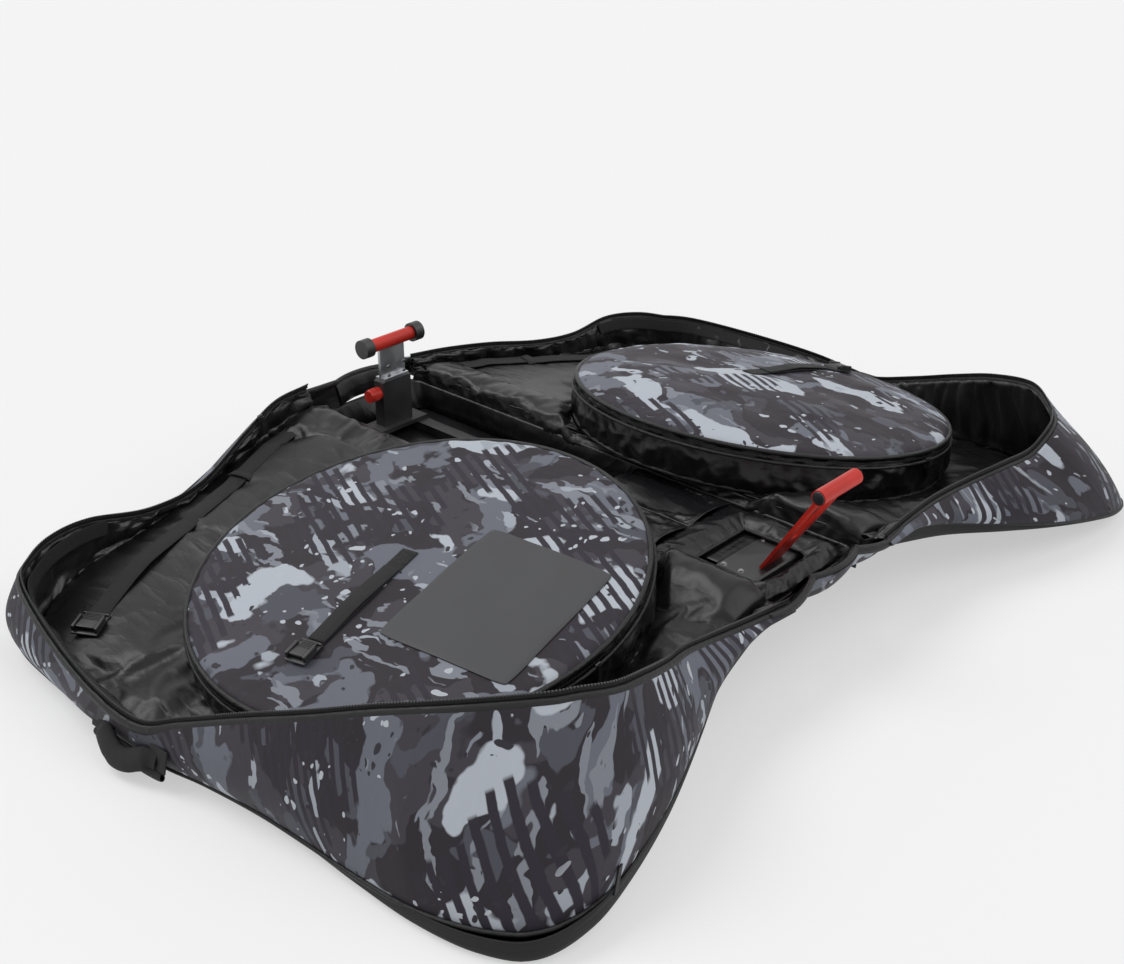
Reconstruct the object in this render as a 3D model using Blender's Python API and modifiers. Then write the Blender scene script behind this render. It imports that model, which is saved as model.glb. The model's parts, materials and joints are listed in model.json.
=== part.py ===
# Soft travel bag for a bicycle, laid open: a low tub on four casters, with the two
# dish-shaped halves of the shell folded out to the floor on either side of it.
# Metres, +Z up, X to the front of the bag, Y to its left. The origin is on the floor,
# under the middle of the open bag. A length "out" is measured from the middle plane
# towards the outer edge of a half, and "side" is -1 for the right half, +1 for the left.
import bpy
import bmesh
import math
from mathutils import Matrix, Vector

# General
touch_gap = 0.0003
seat_gap = 0.0006
fold_gap = 0.005

# Wheel pocket, which sets the size of the halves round it
pocket_diameter = 0.70
pocket_depth = 0.078
pocket_wall = 0.006
pocket_overhang = 0.052
pocket_forward = 0.027
lid_thickness = 0.012
lid_dome = 0.034
lid_edge_round = 0.004
lid_settle_rounds = 4

# Halves
end_room = 0.275
edge_room = 0.081
panel_thickness = 0.012
panel_margin = 0.008
foot_width = 0.111
gusset_height = 0.256
left_gusset_height = 0.198
gusset_thickness = 0.008
gusset_bulge = 0.012
rim_bead_radius = 0.005

# Tub and its fold lines
tub_width = 0.260
tub_height = 0.0592
tub_wall = 0.005
tub_corner = 0.030
front_nose = 0.066
rear_nose = 0.030
board_thickness = 0.006
board_inset = 0.010
mat_thickness = 0.004
mat_inset = 0.010
end_wall_thickness = 0.010
end_wall_height = 0.041
end_wall_lean = 0.003
end_wall_side_room = 0.068

# Chassis
rail_width = 0.025
rail_height = 0.016
rail_spacing = 0.100
rail_end_room = 0.004
cross_width = 0.030
stand_length = 0.050
stand_width = 0.070
stand_foot = 0.008
stand_plate_width = 0.060
stand_plate_height = 0.0614
stand_plate_thickness = 0.006
axle_height = 0.263
axle_radius = 0.0125
axle_span = 0.142
collar_length = 0.020
collar_radius = 0.018
stand_back = 0.087
knob_radius = 0.012
knob_length = 0.026
knob_drop = 0.0225

# Fork mount
fork_bar_height = 0.290
fork_bar_radius = 0.0125
fork_bar_span = 0.100
fork_lean = 0.109
carriage_length = 0.080
carriage_height = 0.030
carriage_front_room = 0.002
carriage_travel = 0.080
bracket_thickness = 0.005
bracket_seat = 0.018
bracket_foot_width = 0.056
window_foot_width = 0.016
window_head_width = 0.040
window_sill_share = 0.38
window_head_share = 0.86
lever_length = 0.046
lever_width = 0.014
lever_height = 0.008

# Casters
caster_inset_x = 0.045
caster_inset_y = 0.047
wheel_radius = 0.0235
wheel_room = 0.002
wheel_width = 0.022
wheel_edge_round = 0.002
wheel_edge_width = 0.0044
wheel_bore = 0.004
caster_trail = 0.014
fork_cheek = 0.003
fork_side_gap = 0.001
swivel_radius = 0.020
swivel_height = 0.005
crown_thickness = 0.004
crown_lip = 0.001
pin_gap = 0.0004

# Straps, buckles, handle and zip pulls
webbing_thickness = 0.002
lid_strap_width = 0.030
lid_strap_steps = 16
inner_strap_width = 0.038
tie_strap_width = 0.024
tie_strap_length = 0.420
buckle_length = 0.044
buckle_height = 0.010
handle_radius = 0.010
handle_end_radius = 0.003
handle_length = 0.150
handle_stand = 0.008
handle_drop = 0.026
handle_up = 0.030
slider_length = 0.012
slider_width = 0.009
slider_height = 0.006
pull_length = 0.032
pull_width = 0.008
pull_thickness = 0.0025

# Values that follow
pocket_radius = pocket_diameter / 2
half_length = pocket_radius + end_room
half_width = pocket_diameter + edge_room
board_clearance = 2 * wheel_radius + wheel_room + crown_thickness + swivel_height + touch_gap
board_top = board_clearance + board_thickness
tub_bottom = board_top + touch_gap
tub_top = tub_bottom + tub_height
hinge_out = (tub_width + touch_gap) / 2
hinge_height = tub_top + touch_gap / 2
fold_line = tub_width / 2 + touch_gap
outer_edge = tub_width / 2 + half_width
foot_out = outer_edge - foot_width
panel_slope = (tub_top + touch_gap) / (foot_out - fold_line)
tilt = math.atan(panel_slope)
mat_bottom = tub_bottom + tub_wall + touch_gap
rail_bottom = mat_bottom + mat_thickness + touch_gap
rail_top = rail_bottom + rail_height

# Stations round a half, from the rear end of the fold line over the top edge to the
# front end, as shares: seam forward, seam out, rim forward, rim out, rim height.
# The first two pairs are shares of the half's length and width, the last of the
# gusset's full height. The left half's softer wall stands less high.
rear_wall_shares = [
    (-1.000, 0.000, -0.990, 0.000, 0.19),
    (-1.000, 0.110, -0.970, 0.115, 0.24),
    (-0.970, 0.255, -0.925, 0.240, 0.215),
    (-0.930, 0.410, -0.890, 0.385, 0.15),
    (-0.915, 0.555, -0.880, 0.525, 0.20),
    (-0.910, 0.690, -0.885, 0.670, 0.35),
    (-0.870, 0.795, -0.850, 0.780, 0.44),
    (-0.800, 0.875, -0.795, 0.865, 0.47),
]
top_wall_shares = [
    rear_wall_shares[-1],
    (-0.695, 0.915, -0.700, 0.925, 0.46),
    (-0.475, 0.930, -0.470, 0.960, 0.39),
    (-0.245, 0.940, -0.245, 0.980, 0.335),
    (-0.060, 0.935, -0.090, 0.975, 0.31),
    (0.070, 0.920, 0.030, 0.950, 0.39),
    (0.240, 0.910, 0.205, 0.915, 0.56),
    (0.390, 0.910, 0.365, 0.885, 0.715),
    (0.550, 0.915, 0.520, 0.840, 0.87),
    (0.715, 0.915, 0.675, 0.790, 0.975),
    (0.860, 0.895, 0.780, 0.710, 1.00),
]
front_wall_shares = [
    top_wall_shares[-1],
    (0.965, 0.845, 0.835, 0.645, 0.99),
    (1.000, 0.755, 0.865, 0.575, 0.90),
    (0.985, 0.650, 0.865, 0.500, 0.79),
    (0.940, 0.515, 0.845, 0.415, 0.63),
    (0.875, 0.380, 0.800, 0.325, 0.465),
    (0.800, 0.240, 0.780, 0.220, 0.295),
    (0.765, 0.110, 0.780, 0.115, 0.18),
    (0.745, 0.000, 0.785, 0.000, 0.10),
]

# Webbing routes on a half: forward and out, as shares like the seam's
inner_strap_shares = [(-0.91, 0.03), (-0.88, 0.16), (-0.82, 0.32), (-0.77, 0.47),
                      (-0.72, 0.62), (-0.66, 0.74), (-0.61, 0.815)]
handle_place_share = -0.13
seam_slider_place_share = 0.35
seam_slider_rise_share = 0.38

# The lid strap's run across the lid, in shares of the pocket's radius
lid_strap_run_shares = (0.12, 0.62)

# Rings of the lid's dome, in shares of its radius
dome_ring_shares = (0.35, 0.65, 0.88)

# Half of the grab handle: along its length, out, down and thickness, as shares
handle_shape_shares = [(-0.50, 0.00, 0.00, 0.00), (-0.42, 0.00, 0.00, 0.00),
                       (-0.36, 0.30, 0.25, 0.35), (-0.26, 0.76, 0.75, 1.00),
                       (-0.12, 0.95, 1.00, 1.00)]
handle_middle_shares = (0.0, 1.0, 1.04, 1.0)

# Colours, as linear values
near_black = (0.012, 0.012, 0.013)
lining_black = (0.018, 0.018, 0.020)
camo_grey = (0.16, 0.16, 0.18)
frame_black = (0.020, 0.020, 0.022)
signal_red = (0.52, 0.030, 0.018)
plate_grey = (0.50, 0.51, 0.53)
wheel_grey = (0.10, 0.10, 0.11)

for old in list(bpy.data.objects):
    bpy.data.objects.remove(old, do_unlink=True)

bag = bpy.data.collections.new("soft_bike_travel_bag")
cutters = bpy.data.collections.new("cutters")
for group in (bag, cutters):
    bpy.context.scene.collection.children.link(group)


def material(name, colour, roughness, metallic=0.0):
    found = bpy.data.materials.get(name)
    if found:
        return found
    made = bpy.data.materials.new(name)
    made.use_nodes = True
    shader = made.node_tree.nodes["Principled BSDF"]
    shader.inputs["Base Color"].default_value = (*colour, 1.0)
    shader.inputs["Roughness"].default_value = roughness
    shader.inputs["Metallic"].default_value = metallic
    made.diffuse_color = (*colour, 1.0)
    return made


def shell_black():
    return material("shell_black", near_black, 0.6)


def lining():
    return material("lining_black", lining_black, 0.45)


def camo():
    return material("camo_fabric", camo_grey, 0.55)


def webbing():
    return material("webbing_black", near_black, 0.75)


def steel_black():
    return material("chassis_black", frame_black, 0.4, 0.6)


def red_paint():
    return material("signal_red", signal_red, 0.35, 0.2)


def plastic():
    return material("buckle_plastic", near_black, 0.35)


def body_empty(name, place):
    """Parent for one moving body, at its joint's axis."""
    empty = bpy.data.objects.new(name, None)
    empty.location = place
    empty.empty_display_size = rail_width
    bag.objects.link(empty)
    bpy.context.view_layer.update()
    return empty


def print_axis(name, direction):
    """Print the direction of a moving body's axis, where it isn't along X, Y or Z."""
    print(name, "axis", [round(v, 5) for v in Vector(direction).normalized()])


def add_piece(name, mesh, surface, parent, smooth=True):
    """Make the mesh, given in the bag's frame, a named piece with its origin on its parent."""
    piece = bpy.data.objects.new(name, mesh)
    bag.objects.link(piece)
    mesh.materials.clear()
    mesh.materials.append(surface)
    mesh.transform(Matrix.Translation(-parent.location))
    piece.parent = parent
    if smooth:
        mesh.shade_smooth()
        mesh.set_sharp_from_angle(angle=math.radians(35))
    return piece


def mesh_from(bm, name):
    bmesh.ops.recalc_face_normals(bm, faces=bm.faces)
    mesh = bpy.data.meshes.new(name)
    bm.to_mesh(mesh)
    bm.free()
    return mesh


def add_block(bm, low, high):
    """Box between two corners, as a closed shape in the bmesh."""
    low, high = Vector(low), Vector(high)
    size = high - low
    place = Matrix.Translation((low + high) / 2) @ Matrix.Diagonal((*size, 1.0))
    return bmesh.ops.create_cube(bm, size=1.0, matrix=place)["verts"]


def block_mesh(name, low, high, edge=0.0):
    bm = bmesh.new()
    add_block(bm, low, high)
    if edge:
        bmesh.ops.bevel(bm, geom=bm.edges[:], offset=edge, segments=1,
                        profile=0.5, affect='EDGES', material=-1)
    return mesh_from(bm, name)


def rod_mesh(name, start, end, radius, sides=20):
    """Closed cylinder from one point to another."""
    start, end = Vector(start), Vector(end)
    run = end - start
    turn = run.to_track_quat('Z', 'Y').to_matrix().to_4x4()
    bm = bmesh.new()
    bmesh.ops.create_cone(bm, cap_ends=True, segments=sides, radius1=radius, radius2=radius,
                          depth=run.length, matrix=Matrix.Translation((start + end) / 2) @ turn)
    return mesh_from(bm, name)


def combined(name, meshes, operation='UNION'):
    """The first closed mesh with the others joined to it or cut from it, as one mesh."""
    base = bpy.data.objects.new(name + "_base", meshes[0])
    cutters.objects.link(base)
    tools = []
    for index, mesh in enumerate(meshes[1:]):
        tool = bpy.data.objects.new("%s_tool_%d" % (name, index), mesh)
        cutters.objects.link(tool)
        join = base.modifiers.new("join_%d" % index, 'BOOLEAN')
        join.operation = operation
        join.solver = 'EXACT'
        join.object = tool
        tools.append(tool)
    bpy.context.view_layer.update()
    made = bpy.data.meshes.new_from_object(base.evaluated_get(bpy.context.evaluated_depsgraph_get()))
    for used in [base] + tools:
        bpy.data.objects.remove(used, do_unlink=True)
    return made


def loft_mesh(name, sections):
    """Closed body through sections that all have the same number of points."""
    bm = bmesh.new()
    rings = []
    for section in sections:
        verts = [bm.verts.new(point) for point in section]
        rings.append(verts)
    for one, two in zip(rings, rings[1:]):
        count = len(one)
        for i in range(count):
            j = (i + 1) % count
            bm.faces.new((one[i], one[j], two[j], two[i]))
    bm.faces.new(rings[0])
    bm.faces.new(rings[-1])
    bmesh.ops.connect_verts_concave(bm, faces=[f for f in bm.faces if len(f.verts) > 4])
    bmesh.ops.triangulate(bm, faces=[f for f in bm.faces if len(f.verts) > 4])
    return mesh_from(bm, name)


def turned_mesh(name, profile, steps):
    """Body turned about Z from a profile that runs down its outer side."""
    bm = bmesh.new()
    verts = [bm.verts.new((radius, 0.0, height)) for radius, height in profile]
    for one, two in zip(verts, verts[1:]):
        bm.edges.new((one, two))
    if profile[0] != profile[-1] and profile[0][0] > 0:
        bm.edges.new((verts[-1], verts[0]))
    bmesh.ops.spin(bm, geom=bm.verts[:] + bm.edges[:], axis=(0, 0, 1), cent=(0, 0, 0),
                   steps=steps, angle=math.tau, use_merge=True)
    bmesh.ops.remove_doubles(bm, verts=bm.verts, dist=touch_gap / 10)
    return mesh_from(bm, name)


def tube_mesh(name, points, radius, sides_level=2, radii=None):
    """Closed tube along points, from a curve with filled caps."""
    curve = bpy.data.curves.new(name, 'CURVE')
    curve.dimensions = '3D'
    curve.bevel_depth = radius
    curve.bevel_resolution = sides_level
    curve.use_fill_caps = True
    spline = curve.splines.new('POLY')
    spline.points.add(len(points) - 1)
    for index, point in enumerate(points):
        spline.points[index].co = (*point, 1.0)
        if radii:
            spline.points[index].radius = radii[index] / radius
    holder = bpy.data.objects.new(name, curve)
    cutters.objects.link(holder)
    bpy.context.view_layer.update()
    made = bpy.data.meshes.new_from_object(holder.evaluated_get(bpy.context.evaluated_depsgraph_get()))
    bpy.data.objects.remove(holder, do_unlink=True)
    bm = bmesh.new()
    bm.from_mesh(made)
    bpy.data.meshes.remove(made)
    bmesh.ops.remove_doubles(bm, verts=bm.verts, dist=touch_gap / 10)
    return mesh_from(bm, name)


def outline_mesh(name, outline, thickness, place, holes=()):
    """Flat outline, drawn in X and Y, filled and given a thickness, then placed."""
    curve = bpy.data.curves.new(name, 'CURVE')
    curve.dimensions = '2D'
    curve.fill_mode = 'BOTH'
    curve.extrude = thickness / 2
    for loop in (outline, *holes):
        spline = curve.splines.new('POLY')
        spline.points.add(len(loop) - 1)
        for index, (x, y) in enumerate(loop):
            spline.points[index].co = (x, y, 0.0, 1.0)
        spline.use_cyclic_u = True
    holder = bpy.data.objects.new(name, curve)
    cutters.objects.link(holder)
    bpy.context.view_layer.update()
    made = bpy.data.meshes.new_from_object(holder.evaluated_get(bpy.context.evaluated_depsgraph_get()))
    bpy.data.objects.remove(holder, do_unlink=True)
    bm = bmesh.new()
    bm.from_mesh(made)
    bpy.data.meshes.remove(made)
    bmesh.ops.remove_doubles(bm, verts=bm.verts, dist=touch_gap / 10)
    bmesh.ops.transform(bm, matrix=place, verts=bm.verts)
    return mesh_from(bm, name)


def panel_underside(out):
    """Height of a side panel's underside: flat on the floor outside, rising to the tub."""
    return max(0.0, panel_slope * (foot_out - out))


def panel_top(out):
    sloped = panel_slope * (foot_out - out) + panel_thickness / math.cos(tilt)
    return max(panel_thickness, sloped)


def forward(share):
    return share * (half_length - panel_margin)


def outward(share):
    return fold_line + share * (outer_edge - panel_margin - fold_line)


def plan_normals(points):
    """Unit normals that point away from the half's middle, one for each plan point."""
    normals = []
    for index, _ in enumerate(points):
        before = points[max(index - 1, 0)]
        after = points[min(index + 1, len(points) - 1)]
        run = (Vector(after) - Vector(before)).normalized()
        normals.append(Vector((-run.y, run.x)))
    return normals


def all_stations():
    return rear_wall_shares + top_wall_shares[1:] + front_wall_shares[1:]


def seam_plan():
    return [(forward(s[0]), outward(s[1])) for s in all_stations()]


def wall_height(side):
    return gusset_height if side < 0 else left_gusset_height


def rim_line(side, lift):
    """Points along the top of the gusset, at a height above it."""
    return [Vector((forward(s[2]), side * outward(s[3]),
                    panel_top(outward(s[1])) + s[4] * wall_height(side) + lift))
            for s in all_stations()]


def gusset_sections(shares, side):
    """Cross-sections of the padded wall between the seam and the rim."""
    stations = all_stations()
    normals = plan_normals(seam_plan())
    half = gusset_thickness / 2
    sections = []
    for station in shares:
        index = stations.index(station)
        normal = normals[index]
        if index in (0, len(stations) - 1):
            normal = Vector((math.copysign(1.0, normal.x), 0.0))
        seam = Vector((forward(station[0]), outward(station[1])))
        rim = Vector((forward(station[2]), outward(station[3])))
        swell = gusset_bulge * min(1.0, station[4] * 2)
        middle = (seam + rim) / 2 + normal * swell
        base = panel_top(seam.y)
        top = base + station[4] * wall_height(side)
        waist = (base + top) / 2
        section = []
        for plan, height, sense in ((seam, None, 1), (middle, waist, 1), (rim, top, 1),
                                    (rim, top, -1), (middle, waist, -1), (seam, None, -1)):
            point = plan + normal * half * sense
            level = panel_top(point.y) + seat_gap if height is None else height
            section.append(Vector((point.x, side * point.y, level)))
        sections.append(section)
    for end, near in ((0, 1), (-1, -2)):
        sections[end] = [p + (q - p).normalized() * touch_gap / 2
                         for p, q in zip(sections[end], sections[near])]
    return sections


def webbing_sections(route, width, height_at, side, thickness=webbing_thickness):
    """Sections of a flat strap that lies along a plan route at a given height."""
    sections = []
    for index, point in enumerate(route):
        normal = plan_normals(route)[index]
        edges = [Vector(point) + normal * width / 2, Vector(point) - normal * width / 2]
        low = [Vector((e.x, side * e.y, height_at(e))) for e in edges]
        high = [p + Vector((0, 0, thickness)) for p in low]
        sections.append([low[0], low[1], high[1], high[0]])
    return sections


def pocket_frame(side):
    """Matrix from the pocket's own upright frame to its sloped seat on the panel."""
    centre_out = hinge_out - pocket_overhang + pocket_radius * math.cos(tilt)
    centre = Vector((pocket_forward, side * centre_out, panel_top(centre_out)))
    return Matrix.Translation(centre) @ Matrix.Rotation(-side * tilt, 4, 'X')


def lid_hinge(side):
    """Middle of the lid's sewn edge, nearest the tub."""
    level = touch_gap + pocket_depth + touch_gap
    return pocket_frame(side) @ Vector((0.0, -side * pocket_radius, level))


def lid_centre(side):
    """Middle of the flat lid's top, without its dome."""
    return pocket_frame(side) @ Vector((0, 0, pocket_depth + lid_thickness + 2 * touch_gap))


def tub_front():
    """Front of the tub, inside the swing of the gussets' front ends."""
    return forward(front_wall_shares[-1][0]) - gusset_thickness / 2 - fold_gap


def tub_rear():
    return forward(rear_wall_shares[0][2]) + gusset_thickness / 2 + fold_gap


def floor_front():
    """Front end of the tub's flat floor, where its nose starts to rise."""
    return tub_front() - front_nose


def floor_rear():
    return tub_rear() + rear_nose


def make_board(parent):
    half_board = tub_width / 2 - board_inset
    mesh = block_mesh("base_board", (floor_rear() + board_inset, -half_board, board_clearance),
                      (floor_front() - board_inset, half_board, board_top), board_thickness / 4)
    add_piece("base_board", mesh, plastic(), parent, smooth=False)


def tub_solid(name, inset, low, high):
    """Block with round corners whose two ends slope up from the flat floor to the rim."""
    bm = bmesh.new()
    add_block(bm, (tub_rear() + inset, inset - tub_width / 2, low),
              (tub_front() - inset, tub_width / 2 - inset, high))
    corners = [e for e in bm.edges if abs(e.verts[0].co.z - e.verts[1].co.z) > touch_gap]
    bmesh.ops.bevel(bm, geom=corners, offset=tub_corner - inset, segments=4, profile=0.5,
                    affect='EDGES', material=-1)
    for vert in bm.verts:
        if vert.co.z < low + touch_gap:
            vert.co.x += rear_nose if vert.co.x < 0 else -front_nose
    return mesh_from(bm, name)


def make_tub(parent):
    """Open tray: the hollow is the same block, smaller by the wall."""
    outer = tub_solid("outer", 0.0, tub_bottom, tub_top)
    hollow = tub_solid("hollow", tub_wall, tub_bottom + tub_wall, tub_top + tub_wall)
    add_piece("base_tub", combined("base_tub", [outer, hollow], 'DIFFERENCE'), shell_black(), parent)


def make_mat(parent):
    inset = tub_wall + mat_inset
    mesh = block_mesh("tub_mat", (floor_rear() + inset, inset - tub_width / 2, mat_bottom),
                      (floor_front() - inset, tub_width / 2 - inset, mat_bottom + mat_thickness))
    add_piece("tub_mat", mesh, lining(), parent, smooth=False)


def make_end_wall(name, parent, end_x, sense):
    """Padded wall on one end of the tub, leaning out; sense is +1 at the front."""
    inner = end_x - sense * end_wall_thickness
    half_wall = tub_width / 2 - end_wall_side_room
    foot = tub_top + touch_gap
    low = (min(end_x, inner), -half_wall, foot)
    high = (max(end_x, inner), half_wall, foot + end_wall_height)
    bm = bmesh.new()
    add_block(bm, low, high)
    upper = [e for e in bm.edges if abs(e.verts[0].co.z - high[2]) < touch_gap
             and abs(e.verts[1].co.z - high[2]) < touch_gap
             and abs(e.verts[0].co.x - e.verts[1].co.x) > touch_gap]
    bmesh.ops.bevel(bm, geom=upper, offset=end_wall_height / 2, segments=3, profile=0.5,
                    affect='EDGES', material=-1)
    for vert in bm.verts:
        vert.co.x += sense * end_wall_lean * (vert.co.z - foot) / end_wall_height
    add_piece(name, mesh_from(bm, name), lining(), parent)


def rail_span():
    """Rear and front ends of the chassis rails."""
    return floor_rear() + rail_end_room, floor_front() - rail_end_room


def make_chassis(parent):
    rear, front = rail_span()
    meshes = []
    for side in (-1, 1):
        middle = side * rail_spacing / 2
        meshes.append(block_mesh("rail", (rear, middle - rail_width / 2, rail_bottom),
                                 (front, middle + rail_width / 2, rail_top)))
    reach = rail_spacing / 2
    drop = rail_height / 4
    for middle in (rear + cross_width, (rear + front) / 2, front - carriage_length - carriage_travel
                   - 2 * carriage_front_room - cross_width):
        meshes.append(block_mesh("cross", (middle - cross_width / 2, -reach, rail_bottom + drop),
                                 (middle + cross_width / 2, reach, rail_top - drop)))
    add_piece("chassis_frame", combined("chassis_frame", meshes), steel_black(), parent, smooth=False)


def stand_x():
    return tub_rear() + stand_back


def make_rear_stand(parent):
    """Upright at the rear of the chassis, with the red cross axle on top."""
    middle = stand_x()
    foot_low = rail_top + touch_gap
    foot_high = foot_low + stand_foot
    plate_high = axle_height - axle_radius - touch_gap
    plate_low = plate_high - stand_plate_height
    post_top = plate_low - touch_gap
    foot = block_mesh("foot", (middle - stand_length / 2, -rail_spacing / 2 - rail_width / 2, foot_low),
                      (middle + stand_length / 2, rail_spacing / 2 + rail_width / 2, foot_high))
    post = block_mesh("post", (middle - stand_length / 4, -stand_width / 2, foot_high - stand_foot / 2),
                      (middle + stand_length / 4, stand_width / 2, post_top))
    add_piece("rear_stand", combined("rear_stand", [foot, post]), steel_black(), parent, smooth=False)
    plate = block_mesh("plate", (middle - stand_plate_thickness / 2, -stand_plate_width / 2, plate_low),
                       (middle + stand_plate_thickness / 2, stand_plate_width / 2, plate_high))
    flange = block_mesh("flange", (middle - stand_length / 4, -stand_plate_width / 2, plate_low),
                        (middle + stand_length / 4, stand_plate_width / 2,
                         plate_low + stand_plate_thickness))
    add_piece("rear_stand_plate", combined("rear_stand_plate", [plate, flange]),
              material("stand_plate", plate_grey, 0.35, 0.9), parent, smooth=False)
    half_axle = axle_span / 2 - collar_length
    axle = rod_mesh("rear_axle", (middle, -half_axle, axle_height), (middle, half_axle, axle_height),
                    axle_radius, 24)
    add_piece("rear_axle", axle, red_paint(), parent)
    for side, label in ((-1, "right"), (1, "left")):
        inner = side * (half_axle + touch_gap)
        collar = rod_mesh("collar", (middle, inner, axle_height),
                          (middle, side * axle_span / 2, axle_height), collar_radius, 24)
        add_piece("rear_axle_collar_" + label, collar, plastic(), parent)
    side_face = stand_width / 2 + touch_gap
    knob_height = post_top - knob_drop
    knob = rod_mesh("stand_lock_knob", (middle, -side_face, knob_height),
                    (middle, -side_face - knob_length, knob_height), knob_radius, 16)
    add_piece("stand_lock_knob", knob, red_paint(), parent)


def carriage_span():
    """Rear and front ends of the fork carriage, foremost on its rails."""
    front = rail_span()[1] - carriage_front_room
    return front - carriage_length, front


def make_fork_mount(parent):
    """Carriage on the rails, and the leaning red bracket with the fork's cross bar on top."""
    rear, front = carriage_span()
    low = rail_top + touch_gap
    high = low + carriage_height
    half_carriage = (rail_spacing + rail_width) / 2
    carriage = block_mesh("fork_carriage", (rear, -half_carriage, low), (front, half_carriage, high),
                          carriage_height / 10)
    add_piece("fork_carriage", carriage, steel_black(), parent, smooth=False)
    foot = Vector((front - bracket_seat, 0.0, high + touch_gap))
    bar = Vector((foot.x + fork_lean, 0.0, fork_bar_height))
    rise = bar - foot
    lean = math.atan2(rise.x, rise.z)
    length = rise.length - fork_bar_radius - touch_gap
    seat = bracket_thickness / 2 * math.sin(lean)
    top_half = fork_bar_span / 2 - bracket_thickness
    foot_half = bracket_foot_width / 2
    outline = [(-foot_half, seat), (foot_half, seat), (top_half, length), (-top_half, length)]
    sill, head = length * window_sill_share, length * window_head_share
    window = [(-window_foot_width / 2, sill), (window_foot_width / 2, sill),
              (window_head_width / 2, head), (-window_head_width / 2, head)]
    upright = Matrix(((0, 0, 1, 0), (1, 0, 0, 0), (0, 1, 0, 0), (0, 0, 0, 1)))
    place = Matrix.Translation(foot) @ Matrix.Rotation(lean, 4, 'Y') @ upright
    bracket = outline_mesh("fork_bracket", outline, bracket_thickness, place, [window])
    add_piece("fork_bracket", bracket, red_paint(), parent, smooth=False)
    half_bar = fork_bar_span / 2
    rod = rod_mesh("fork_bar", (bar.x, -half_bar, bar.z), (bar.x, half_bar, bar.z),
                   fork_bar_radius, 24)
    add_piece("fork_bar", rod, red_paint(), parent)


def lever_axis():
    half_carriage = (rail_spacing + rail_width) / 2
    level = rail_top + touch_gap + carriage_height / 2
    return Vector((carriage_span()[0] + lever_width, -half_carriage - touch_gap, level))


def make_lever(parent):
    """Cam lever that locks the carriage, lying forward along the carriage's right side."""
    pivot = parent.location
    bm = bmesh.new()
    add_block(bm, (pivot.x - lever_width / 2, pivot.y - lever_height, pivot.z - lever_width / 2),
              (pivot.x + lever_length, pivot.y, pivot.z + lever_width / 2))
    bmesh.ops.bevel(bm, geom=bm.edges[:], offset=lever_height / 5, segments=1, profile=0.5,
                    affect='EDGES', material=-1)
    add_piece("carriage_lock_lever", mesh_from(bm, "carriage_lock_lever"), red_paint(), parent,
              smooth=False)


def make_caster(label, parent, wheel_parent):
    """Swivel fork under the board, and its wheel."""
    top = board_clearance - touch_gap
    swivel = parent.location
    hub = wheel_parent.location
    cheek_inner = wheel_width / 2 + fork_side_gap
    cheek_outer = cheek_inner + fork_cheek
    disc = rod_mesh("disc", (swivel.x, swivel.y, top - swivel_height), (swivel.x, swivel.y, top),
                    swivel_radius, 24)
    crown_top = top - swivel_height / 2
    crown_low = top - swivel_height - crown_thickness
    rear = hub.x - wheel_radius / 2
    half_crown = cheek_outer + crown_lip
    crown = block_mesh("crown", (rear - crown_lip, swivel.y - half_crown, crown_low),
                       (swivel.x + swivel_radius / 2, swivel.y + half_crown, crown_top))
    shapes = [disc, crown]
    for side in (-1, 1):
        inner, outer = swivel.y + side * cheek_inner, swivel.y + side * cheek_outer
        shapes.append(block_mesh("cheek", (rear, min(inner, outer), hub.z - wheel_radius / 3),
                                 (hub.x + wheel_radius / 2, max(inner, outer),
                                  crown_low + crown_thickness / 2)))
    middle_cheek = cheek_inner + fork_cheek / 2
    pin_radius = wheel_bore - pin_gap
    shapes.append(rod_mesh("pin", (hub.x, hub.y - middle_cheek, hub.z),
                           (hub.x, hub.y + middle_cheek, hub.z), pin_radius, 12))
    name = "caster_fork_" + label
    add_piece(name, combined(name, shapes), steel_black(), parent, smooth=False)
    shoulder = wheel_radius - wheel_edge_round
    half_wheel = wheel_width / 2
    half_tread = half_wheel - wheel_edge_width
    profile = [(wheel_bore, half_wheel), (shoulder, half_wheel), (wheel_radius, half_tread),
               (wheel_radius, -half_tread), (shoulder, -half_wheel), (wheel_bore, -half_wheel)]
    mesh = turned_mesh("caster_wheel_" + label, profile, 28)
    mesh.transform(Matrix.Translation(hub) @ Matrix.Rotation(math.pi / 2, 4, 'X'))
    add_piece("caster_wheel_" + label, mesh, material("wheel_grey", wheel_grey, 0.5), wheel_parent)


def make_tie_straps(parent):
    """Two straps that hold the load down, laid flat on the mat between the rails."""
    middle = (rail_span()[0] + rail_span()[1]) / 2
    level = mat_bottom + mat_thickness + touch_gap
    room = (rail_spacing - rail_width) / 2
    for side, label in ((-1, "right"), (1, "left")):
        outer = side * (room / 2 + tie_strap_width / 2)
        inner = side * (room / 2 - tie_strap_width / 2)
        low = (middle - tie_strap_length / 2, min(outer, inner), level)
        high = (middle + tie_strap_length / 2, max(outer, inner), level + webbing_thickness)
        mesh = block_mesh("tie_down_strap_" + label, low, high)
        add_piece("tie_down_strap_" + label, mesh, webbing(), parent, smooth=False)


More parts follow.
